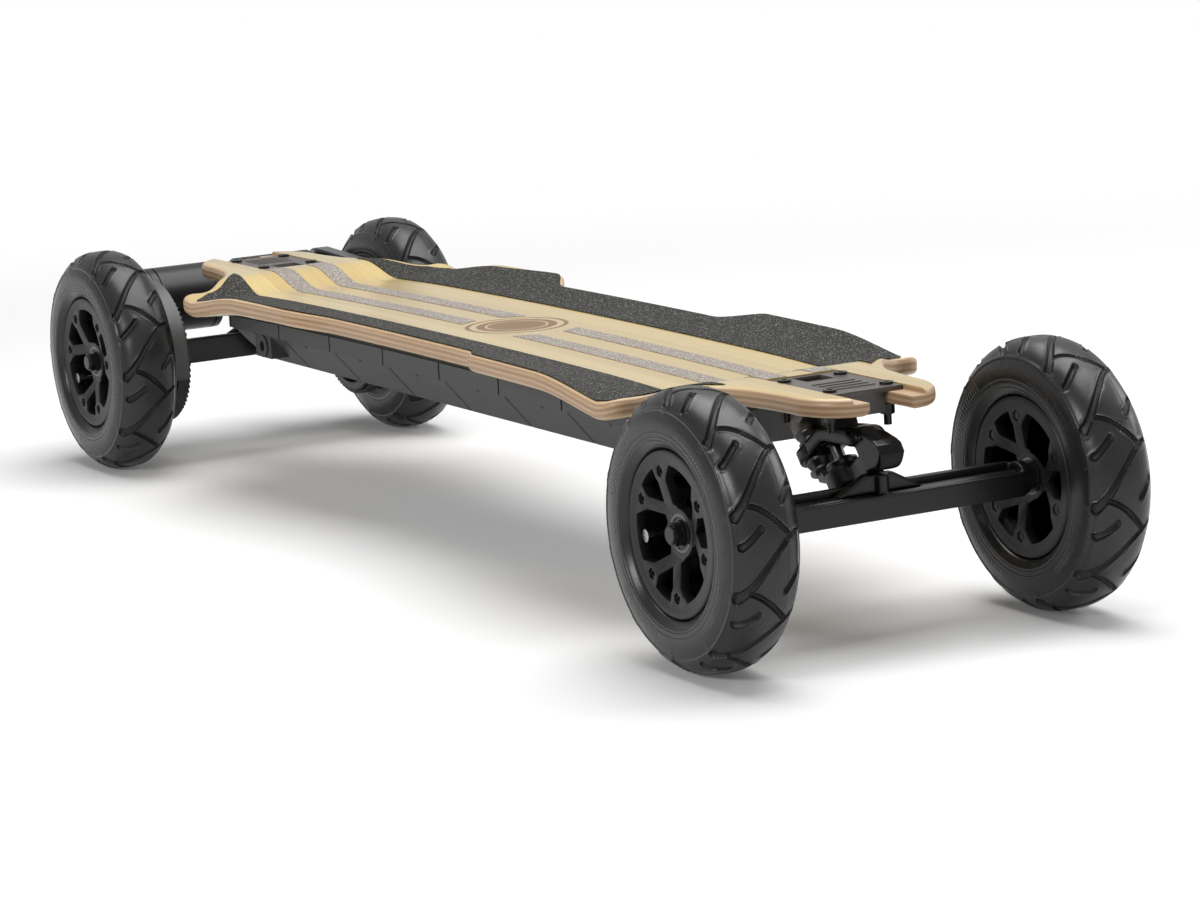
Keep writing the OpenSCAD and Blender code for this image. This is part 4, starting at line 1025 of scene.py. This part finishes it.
def stroke(turn, side, start, stop, angle_at, slope_at, width, taper=0.0):
    """How far a point lies inside a groove's edge, in metres. Outside it is negative.

    The groove runs over side = start to stop. angle_at gives its angle in degrees at a
    share of that run, and slope_at how fast the angle changes with the share.
    """
    run = stop - start
    share = ((side - start) / run).held()
    away = turn - angle_at(share)
    wrapped = ((away / PITCH + 0.5).part() - 0.5) * PITCH
    slope = slope_at(share) * (MM_PER_DEGREE / run)
    square = (slope * slope + 1.0).root()
    round_the_wheel = wrapped * MM_PER_DEGREE / square
    past_the_end = side - (share * run + start)
    return width - taper * share - span(round_the_wheel, past_the_end)


def tread_edge(turn, side):
    """The four grooves of a repeat. turn is in degrees and side in metres from the middle."""
    long_groove = stroke(turn, side, -20 * MM, 18 * MM, lambda s: 27.5 - 27.5 * (1.0 - s) ** 1.5,
                         lambda s: 41.25 * (1.0 - s).root(), 2.2 * MM, 0.9 * MM)
    branch = stroke(turn, side, -15 * MM, 11 * MM, lambda s: 3.5 - 14.0 * s ** 1.5,
                    lambda s: -21.0 * s.root(), 1.5 * MM)
    near_slot = stroke(turn, side, -18.8 * MM, -8.6 * MM, lambda s: 6.6 * s - 13.0,
                       lambda s: s * 0.0 + 6.6, 1.9 * MM)
    far_slot = stroke(turn, side, 8.2 * MM, 17.5 * MM, lambda s: 7.4 * s + 3.4,
                      lambda s: s * 0.0 + 7.4, 1.8 * MM)
    return long_groove.most(branch).most(near_slot).most(far_slot)


print("tread pitch:", PITCH, "degrees")

# %% [markdown]
# The tree wraps the grid, sinks the grooves, lifts a thin lip along each of them, and
# stores the numbers that the rubber reads. Its sizes are inputs with names, so the four
# tyres come from one tree and differ only in how far they are turned.

# %% Tree that makes the tyre
AROUND = 850
TREAD_FADE = 6 * MM
SIDE_SHARE = 0.30
SIDE_PULL = 0.55
CLOSE_SEAM = 0.01 * MM


def group_with(name, inputs):
    """An empty geometry tree with named inputs, its input values and its output node."""
    tree = bpy.data.node_groups.new(name, "GeometryNodeTree")
    sockets = {label: tree.interface.new_socket(name=label, in_out="INPUT", socket_type="NodeSocket" + kind)
               for label, kind in inputs.items()}
    tree.interface.new_socket(name="Mesh", in_out="OUTPUT", socket_type="NodeSocketGeometry")
    entry = tree.nodes.new("NodeGroupInput")
    values = {label: Value(tree, entry.outputs[label]) for label in inputs}
    return tree, sockets, values, tree.nodes.new("NodeGroupOutput")


def stored(tree, mesh, name, value):
    inputs = {"Geometry": mesh, "Name": name, "Value": value}
    return add_node(tree, "GeometryNodeStoreNamedAttribute", inputs, data_type="FLOAT", domain="POINT")


def tyre_tree():
    tree, sockets, given, leaving = group_with("tyre", {
        "Section": "Object", "Steps round": "Int", "Section points": "Int", "Groove depth": "Float",
        "Phase": "Float", "Rubber": "Material"})
    counts = {"Vertices X": given["Steps round"], "Vertices Y": given["Section points"]}
    grid = add_node(tree, "GeometryNodeMeshGrid", counts, output="Mesh")
    u, v, _ = parts_of(Value(tree, pick(grid.socket.node.outputs, "UV Map")))
    line = add_node(tree, "GeometryNodeObjectInfo", {"Object": given["Section"]}, output="Geometry")
    row = (v * (given["Section points"] - 1.0) + 0.5).whole()
    wanted = {"Geometry": line, "Value": add_node(tree, "GeometryNodeInputPosition"), "Index": row}
    radius, side, _ = parts_of(add_node(tree, "GeometryNodeSampleIndex", wanted,
                                        data_type="FLOAT_VECTOR", domain="POINT"))
    turn = u * 360.0
    edge = tread_edge(turn - given["Phase"], side)
    on_tread = past(radius, CROWN_R, TREAD_FADE)
    floor = (edge / GROOVE_WALL).eased() * on_tread
    lip = (1.0 - ((edge + LIP_OUT) / LIP_OUT).size()).eased() * on_tread
    lift = radius - (CROWN_R - TREAD_FADE)
    reach = (lift * lift + side * side * SIDE_SHARE).root()
    sunk = floor * given["Groove depth"] - lip * LIP_HEIGHT
    new_radius = radius - sunk * lift / reach
    new_side = side - sunk * side * SIDE_PULL / reach
    angle = turn * (math.pi / 180)
    place = vector(tree, new_radius * angle.math("COSINE"), new_side, new_radius * angle.math("SINE"))
    mesh = add_node(tree, "GeometryNodeSetPosition", {"Geometry": grid, "Position": place})
    for name, value in (("edge", edge), ("side", side), ("reach", radius), ("turn", turn)):
        mesh = stored(tree, mesh, name, value)
    mesh = add_node(tree, "GeometryNodeMergeByDistance", {"Geometry": mesh, "Distance": CLOSE_SEAM})
    mesh = add_node(tree, "GeometryNodeRealizeInstances", {"Geometry": mesh})
    mesh = add_node(tree, "GeometryNodeSetMaterial", {"Geometry": mesh, "Material": given["Rubber"]})
    tree.links.new(mesh.socket, leaving.inputs["Mesh"])
    return tree, sockets


def grown(name, tree, sockets, values):
    """Runs a geometry tree on an empty object and gives back the plain mesh."""
    holder = in_scene(name, bpy.data.meshes.new(name))
    grow = holder.modifiers.new("grow", "NODES")
    grow.node_group = tree
    for label, value in values.items():
        grow[sockets[label].identifier] = value
    graph = bpy.context.evaluated_depsgraph_get()
    mesh = bpy.data.meshes.new_from_object(holder.evaluated_get(graph))
    bpy.data.objects.remove(holder)
    return mesh


tyre_group, tyre_sockets = tyre_tree()
print("tyre tree:", len(tyre_group.nodes), "nodes")

# %% [markdown]
# The rubber is a dark grey that scatters light softly, greyer where it is rubbed. Shade
# is painted into the grooves and along a few thin rings on each side wall. The mould leaves
# a thin line off the middle of the tread, and on each side wall a few rings, short vents
# and a band of ticks. They are bump, because they are finer than the mesh.

# %% Rubber of the tyre
RUBBER = ((0.009, 0.009, 0.009, 1), (0.017, 0.017, 0.017, 1))
# Painted shade for the grooves and for the thin rings on the side walls.
PAINTED_RUBBER_SHADE = (0.002, 0.002, 0.002, 1)
WALL_FROM = 15 * MM
SMOOTH_FROM = 17 * MM
# Thin rings on each side wall where shade is painted into the colour.
PAINTED_SHADE_RINGS = ((79.0, 0.5), (62.5, 0.6), (58.4, 1.2))
RAISED_RINGS = ((62.5, 0.5), (59.4, 0.6), (57.6, 0.5))
TICK_RING = (67.0, 3.0)
VENT_RING = (74.5, 1.8)
VENT_EVERY = 24.0
TICK_EVERY = 2.4
TICKS_REPEAT = 90.0


def line_at(value, spot, half):
    """1 on a thin line where the value meets the spot, 0 away from it."""
    return (1.0 - (value - spot).size() / half).held()


def rings_at(reach, rings):
    """Thin lines round the wheel. A ring is a radius and a half width in millimetres."""
    first, *others = (line_at(reach, radius * MM, half * MM) for radius, half in rings)
    return sum(others, first)


def wall_marks(reach, turn):
    """Raised rings, short vents and a band of plain ticks, as the mould leaves them."""
    vent = line_at((turn / VENT_EVERY).part(), 0.5, 0.012) * rings_at(reach, [VENT_RING])
    bars = ((((turn / TICK_EVERY).part() - 0.5).size() - 0.18) * 9.0).held()
    ticks = bars * ((turn / TICKS_REPEAT).part() - 0.62).size().math("LESS_THAN", 0.22)
    band = (rings_at(reach, [TICK_RING]) * 3.0).held()
    return rings_at(reach, RAISED_RINGS) + vent + band * ticks * 0.9


def tyre_rubber():
    f = Finish("tyre_rubber", 0.35, specular=0.42)
    edge, side, reach, turn = (f.attribute(name) for name in ("edge", "side", "reach", "turn"))
    on_tread = past(reach, CROWN_R, TREAD_FADE)
    on_wall = past(side.size(), WALL_FROM)
    groove = past(edge, -0.1 * MM) * on_tread
    rim = line_at(edge, -0.45 * MM, 0.42 * MM) * on_tread
    fine = f.noise(2600.0, detail=2.0)
    slow = f.noise(60.0, detail=4.0)
    rubbed = past(reach, TYRE_R - 9 * MM, 8 * MM) * (1.0 - groove)
    # Painted shade: the grooves and a few thin rings on each wall are darkened in the colour.
    rings = (rings_at(reach, PAINTED_SHADE_RINGS) * on_wall).held()
    colour = f.mix((slow * 0.8 + rubbed * 0.35).held(), *RUBBER)
    f.set("Base Color", f.mix((groove * 0.85 + rings * 0.7).held(), colour, PAINTED_RUBBER_SHADE))
    polish = 0.04 * rubbed + 0.08 * rim + 0.10 * past(side.size(), SMOOTH_FROM, 3 * MM)
    f.set("Roughness", 0.35 + 0.14 * (slow - 0.5) + 0.20 * groove - polish)
    tread_line = line_at(side, 9 * MM, 0.35 * MM) * past(reach, TYRE_R - 8 * MM)
    step = rim * 1.5 - past(edge, -0.15 * MM, 0.35 * MM) * on_tread * 1.4
    f.bump(fine * 0.16 + tread_line * 0.9 + wall_marks(reach, turn) * on_wall + step, 0.35 * MM, 0.8)
    return f.material


TYRE_RUBBER = tyre_rubber()
print("tyre rubber:", len(TYRE_RUBBER.node_tree.nodes), "nodes")

# %% [markdown]
# Each tyre is grown at the middle of the board, made a plain mesh, and moved in that
# mesh to its wheel. The phase turns its tread as the wheel stands in the picture.

# %% Four tyres
TYRE_PHASE = {"front_right": 15.8, "front_left": 29.4, "rear_right": 33.5, "rear_left": 6.0}


def tyre_mesh(key, centre):
    mesh = grown(f"{key}_tread", tyre_group, tyre_sockets, {
        "Section": section_line, "Steps round": AROUND + 1, "Section points": len(section),
        "Groove depth": GROOVE_DEPTH, "Phase": TYRE_PHASE[key], "Rubber": TYRE_RUBBER})
    bm = bmesh.new()
    bm.from_mesh(mesh)
    bmesh.ops.recalc_face_normals(bm, faces=bm.faces)
    for face in bm.faces:
        face.smooth = True
    bm.to_mesh(mesh)
    bm.free()
    mesh.transform(Matrix.Translation(centre))
    return mesh


tyres = []
for end, way in ENDS.items():
    for side, out in SIDES.items():
        key = f"{end}_{side}"
        tyre = in_scene(f"{key}_tread", tyre_mesh(key, Vector((way * AXLE_X, out * TRACK_HALF, AXLE_Z))))
        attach(tyre, f"{key}_wheel")
        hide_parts(f"{key}_tyre")
        tyres.append(tyre)
bpy.data.objects.remove(section_line)
print("tyre triangles:", [triangles(tyre) for tyre in tyres])

# %% [markdown]
# Castings and mouldings have no sharp corners. Their solids do, so each one is copied
# and its loose triangles are joined. The copy gets its softer form, and then stands for
# the solid: it rides on the same body, and the solid is hidden.

# %% Copies that stand for a solid
body_of = {n: b for b, members in frame["record"]["behaviour"]["bodies"].items() for n in members}


def welded(node):
    """A copy of a solid whose loose triangles are joined."""
    bm = bmesh.new()
    bm.from_mesh(nodes[node].data)
    bmesh.ops.remove_doubles(bm, verts=bm.verts, dist=WELD)
    return bm


def stands_for(node, mesh, material, label):
    piece = shown(f"{node}_{label}", mesh, material)
    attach(piece, body_of[node])
    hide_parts(node)
    return piece


print("solids on the board itself:", sum(1 for body in body_of.values() if body == "board"))

# %% [markdown]
# The truck's link and hanger are castings with broad fillets, which a bevel can't give.
# A fine skin is laid over the solid and smoothed. Near the kingpins it keeps the solid's
# form, because other pieces turn there, and a vertex group holds that share.

# %% Truck castings
CASTINGS = {"link": {"voxel": 0.6 * MM, "passes": 5, "rounding": 200, "keep": 0.5},
            "hanger": {"voxel": 0.7 * MM, "passes": 4, "rounding": 10, "keep": 0.4}}
FREE_FROM = 13 * MM
FREE_OVER = 4 * MM


def clear_of_pins(end, spot):
    """How far a point lies from the nearer kingpin line of that truck."""
    reach = []
    for part in ("link", "hanger"):
        joint = next(j for j in frame["joints"] if j["name"] == f"{end}_{part}_tilt")
        along = Vector(joint["axis"]).normalized()
        reach.append((spot - Vector(joint["pos_m"])).cross(along).length)
    return min(reach)


def smoothed(piece, iterations, group=""):
    """Adds a smoothing pass, over the whole piece or where its vertex group says."""
    soft = piece.modifiers.new("soft", "SMOOTH")
    soft.factor = 0.5
    soft.iterations = iterations
    soft.vertex_group = group


def cast_copy(node, end, voxel, passes, rounding, keep):
    """A copy of a casting with fillets: a fine skin over the solid, smoothed and thinned.

    Away from the kingpins, where nothing turns in it, the skin is rounded much more.
    """
    piece = in_scene(node + "_cast", mesh_of(welded(node), node + "_cast"))
    skin = piece.modifiers.new("skin", "REMESH")
    skin.mode = "VOXEL"
    skin.voxel_size = voxel
    smoothed(piece, passes)
    baked(piece)
    free = piece.vertex_groups.new(name="free")
    for vert in piece.data.vertices:
        share = (clear_of_pins(end, vert.co) - FREE_FROM) / FREE_OVER
        free.add([vert.index], min(1.0, max(0.0, share)), "REPLACE")
    smoothed(piece, rounding, "free")
    thin = piece.modifiers.new("thin", "DECIMATE")
    thin.ratio = keep
    mesh = baked(piece).data
    bpy.data.objects.remove(piece)
    crisp(mesh, 50)
    return mesh


for end in ENDS:
    for part, sizes in CASTINGS.items():
        name = f"{end}_{part}"
        piece = stands_for(name, cast_copy(name, end, **sizes), FINISH_OF[part], "cast")
        print(name, "triangles", triangles(piece))

# %% [markdown]
# The base plates and the rims are moulded with small, even radii. A bevel on every sharp
# edge gives those, once the flat faces are one face each again.

# %% Rounded mouldings
ROUNDED = {"baseplate": 0.5 * MM, "outer_rim": 0.6 * MM, "inner_rim": 0.6 * MM}
ALMOST_FLAT = math.radians(0.6)
CORNER = math.radians(30)


def rounded_copy(node, radius):
    """A copy of a solid whose corners are rounded."""
    bm = welded(node)
    bmesh.ops.dissolve_limit(bm, angle_limit=ALMOST_FLAT, verts=bm.verts, edges=bm.edges)
    sharp = [e for e in bm.edges if len(e.link_faces) == 2 and e.calc_face_angle(0) > CORNER]
    bmesh.ops.bevel(bm, geom=sharp, offset=radius, segments=2, profile=0.5,
                    affect="EDGES", clamp_overlap=True)
    bmesh.ops.triangulate(bm, faces=bm.faces)
    mesh = mesh_of(bm, node + "_rounded", outwards=True)
    crisp(mesh, 34)
    return mesh


for name in nodes:
    kind = next((k for k in ROUNDED if name.endswith(k)), None)
    if kind:
        piece = stands_for(name, rounded_copy(name, ROUNDED[kind]), FINISH_OF[kind], "rounded")
        print(name, "faces", len(piece.data.polygons))

# %% [markdown]
# An axle is a 12 mm shaft that steps down to a thread of about 8 mm at each end. A
# washer and a locking nut hold the wheel, and the thread ends level with the nut. The
# shaft, its spacers and its threads are one outline turned round the axle line. A nut is
# six flats and a round collar. Its rings are worked out by angle, and where the flats
# end, a ring is the smaller of a hexagon and a circle.

# %% A nut and half a shaft, as rings
SHAFT_R = 6 * MM
SPACER_R = 8.5 * MM
WASHER = (8.2 * MM, 1.2 * MM)
THREAD_R = 4.2 * MM
THREAD_ROOT = 0.88
THREAD_STEP = 1.25 * MM
NUT_R = 7.6 * MM
NUT_L = 6.2 * MM
NUT_CORNER = (0.7 * MM, 0.92)
COLLAR_L = 1.8 * MM
COLLAR = (0.80, 0.76, 0.66)
RUN_GAP = 0.3 * MM
NUT_GAP = 0.02 * MM
TURN_STEPS = 48


def ringed(bm, rings, middle, way):
    """A closed shape from rings round the axle line: a ring is a place along it and its radii."""
    angles = np.linspace(0, 2 * math.pi, TURN_STEPS, endpoint=False)
    made = []
    for along, radii in rings:
        radii = np.broadcast_to(radii, TURN_STEPS)
        made.append([bm.verts.new((middle.x + r * math.cos(a), way * along, middle.z + r * math.sin(a)))
                     for r, a in zip(radii, angles)])
    for here, after in zip(made, made[1:]):
        for k in range(TURN_STEPS):
            bm.faces.new((here[k], here[(k + 1) % TURN_STEPS], after[(k + 1) % TURN_STEPS], after[k]))
    bm.faces.new(made[0])
    bm.faces.new(made[-1])


def nut_rings(start):
    """A hexagon with turned corners, then a round collar."""
    angles = np.linspace(0, 360, TURN_STEPS, endpoint=False)
    hexagon = NUT_R * math.cos(math.pi / 6) / np.cos(np.radians((angles % 60) - 30))
    turned_off = np.minimum(hexagon, NUT_R * NUT_CORNER[1])
    flat = start + NUT_L - COLLAR_L
    top = start + NUT_L
    return [(start, turned_off), (start + NUT_CORNER[0], hexagon),
            (flat - NUT_CORNER[0], hexagon), (flat, turned_off),
            (flat, NUT_R * COLLAR[0]), (top - 0.5 * MM, NUT_R * COLLAR[1]),
            (top, NUT_R * COLLAR[2]), (top, THREAD_R * 0.98)]


def half_shaft(boss, bearing_in, bearing_out, end):
    """The shaft from the middle of the truck out to the end of its thread."""
    inner, outer = bearing_in - RUN_GAP, bearing_out + RUN_GAP
    washer_end = outer + WASHER[1]
    rings = [(0.0, SHAFT_R), (boss, SHAFT_R), (boss, SPACER_R), (inner, SPACER_R), (inner, SHAFT_R),
             (outer, SHAFT_R), (outer, WASHER[0]), (washer_end, WASHER[0]), (washer_end, THREAD_R)]
    spot = washer_end + NUT_L - THREAD_STEP
    while spot < end - 1.5 * THREAD_STEP:
        rings += [(spot, THREAD_R), (spot + 0.5 * THREAD_STEP, THREAD_R * THREAD_ROOT)]
        spot += THREAD_STEP
    return rings + [(end - 0.8 * MM, THREAD_R), (end, THREAD_R * 0.75)]


print("rings of a nut:", len(nut_rings(0.0)))

# %% [markdown]
# Where the shaft starts and ends comes from the boxes of the solids that it runs in, so
# it fits the hanger and the bearings by itself.

# %% Axles with their nuts
for end, way in ENDS.items():
    middle = Vector((way * AXLE_X, 0, AXLE_Z))
    bearing_in, bearing_out = (corner.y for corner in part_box(f"{end}_left_bearings"))
    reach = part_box(f"{end}_axle")[1].y
    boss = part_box(f"{end}_hanger")[1].y
    half = half_shaft(boss, bearing_in, bearing_out, reach)
    nut_start = bearing_out + RUN_GAP + WASHER[1] + NUT_GAP
    bm = bmesh.new()
    ringed(bm, [(-along, radii) for along, radii in half[:0:-1]] + half[1:], middle, 1)
    for out in SIDES.values():
        ringed(bm, nut_rings(nut_start), middle, out)
    mesh = mesh_of(bm, f"{end}_axle_turned", outwards=True)
    crisp(mesh, 30)
    piece = stands_for(f"{end}_axle", mesh, FINISH_OF["axle"], "turned")
    print(piece.name, "ends inside its nuts by", round(nut_start + NUT_L - reach, 4))

# %% [markdown]
# The solids that stay hidden under these pieces get their finish too, so that each node
# of the record carries a real material wherever it is shown.

# %% Finishes for the hidden solids
HIDDEN_FINISH = {"deck": DECK_WOOD, "grip_tape": GRIP_TAPE, "grit_stripes": PALE_GRIT, "tyre": TYRE_RUBBER}
print("hidden solids:", dress(HIDDEN_FINISH))
print("solids without a finish:", [n for n in nodes if not nodes[n].data.materials])

# %% [markdown]
# The picture has a white ground and a white wall, with soft shadows. The floor and the
# sky are brighter to the camera and in reflections than they are as lamps, so the
# board is lit plainly and the ground still looks white.

# %% Floor
FLOOR_SIZE = 14.0
FLOOR_WHITE = ((0.86, 0.86, 0.86, 1), (0.90, 0.90, 0.90, 1))
WHITE_FROM = 0.75
WHITE_OVER = 1.2
GLOW_NEAR = 0.07
WHITE = (1, 1, 1, 1)


def rays(tree):
    """Which kind of ray is asking: from the camera, from a mirror and through glass."""
    path = tree.nodes.new("ShaderNodeLightPath")
    return [Value(tree, path.outputs[f"Is {kind} Ray"]) for kind in ("Camera", "Glossy", "Transmission")]


def floor_material():
    f = Finish("pale_floor", 0.9, specular=0.1)
    f.set("Base Color", f.mix(f.noise(0.6, detail=2.0), *FLOOR_WHITE))
    from_camera, from_mirror, through_glass = rays(f.tree)
    seen = from_camera.most(from_mirror).most(through_glass)
    glow = add_node(f.tree, "ShaderNodeEmission", {"Color": WHITE, "Strength": 1.0})
    x, y, _ = parts_of(f.place)
    away = (span(x, y) - WHITE_FROM) / WHITE_OVER
    share = GLOW_NEAR + (1.0 - GLOW_NEAR) * away.eased()
    plain = Value(f.tree, f.shader.outputs[0])
    mixed = add_node(f.tree, "ShaderNodeMixShader", {0: seen * share, 1: plain, 2: glow})
    f.tree.links.new(mixed.socket, f.tree.nodes["Material Output"].inputs["Surface"])
    return f.material


bm = bmesh.new()
bmesh.ops.create_grid(bm, x_segments=8, y_segments=8, size=FLOOR_SIZE)
floor = shown("floor", mesh_of(bm, "floor"), floor_material())
print("the floor glows fully from", WHITE_FROM + WHITE_OVER, "metres out")

# %% [markdown]
# The sky lights the board weakly, so that the lamps make the shadows. To the camera it
# is white, and in reflections it lies between the two, so that black castings stay black.

# %% Sky
SKY_LEVEL = 0.12
GLOSS_LEVEL = 0.55

world = bpy.data.worlds.new("studio")
bpy.context.scene.world = world
world.use_nodes = True
sky = world.node_tree
background = sky.nodes["Background"]
background.inputs["Color"].default_value = WHITE
from_camera, from_mirror, through_glass = rays(sky)
seen = from_camera.most(through_glass)
strength = SKY_LEVEL + seen * (1.0 - SKY_LEVEL) + from_mirror * (GLOSS_LEVEL - SKY_LEVEL)
sky.links.new(strength.socket, background.inputs["Strength"])
print("sky as a lamp:", SKY_LEVEL, "and in reflections:", GLOSS_LEVEL)

# %% [markdown]
# One broad lamp overhead gives the soft shadow under the board. A lamp on each side
# brings out the edge of the wood, the tread and the rims.

# %% Lamps
LAMPS = {
    "overhead": {"place": (-0.1, 0.35, 2.2), "aim": (0, 0, 0), "size": (2.4, 2.0), "power": 68},
    "from_left": {"place": (0.6, 2.5, 1.3), "aim": (0, 0, 0.1), "size": (1.8, 1.2), "power": 26},
    "from_right": {"place": (0.9, -2.4, 1.3), "aim": (0.1, 0, 0.1), "size": (1.2, 0.5), "power": 26}}


def soft_lamp(name, place, aim, size, power):
    data = bpy.data.lights.new(name, "AREA")
    data.shape = "RECTANGLE"
    data.size, data.size_y = size
    data.energy = power
    lamp = in_scene(name, data)
    lamp.location = place
    lamp.rotation_euler = (Vector(aim) - Vector(place)).to_track_quat("-Z", "Y").to_euler()


for name, sizes in LAMPS.items():
    soft_lamp(name, **sizes)
bpy.context.scene.view_settings.view_transform = "Standard"

# %% [markdown] That is the whole scene.
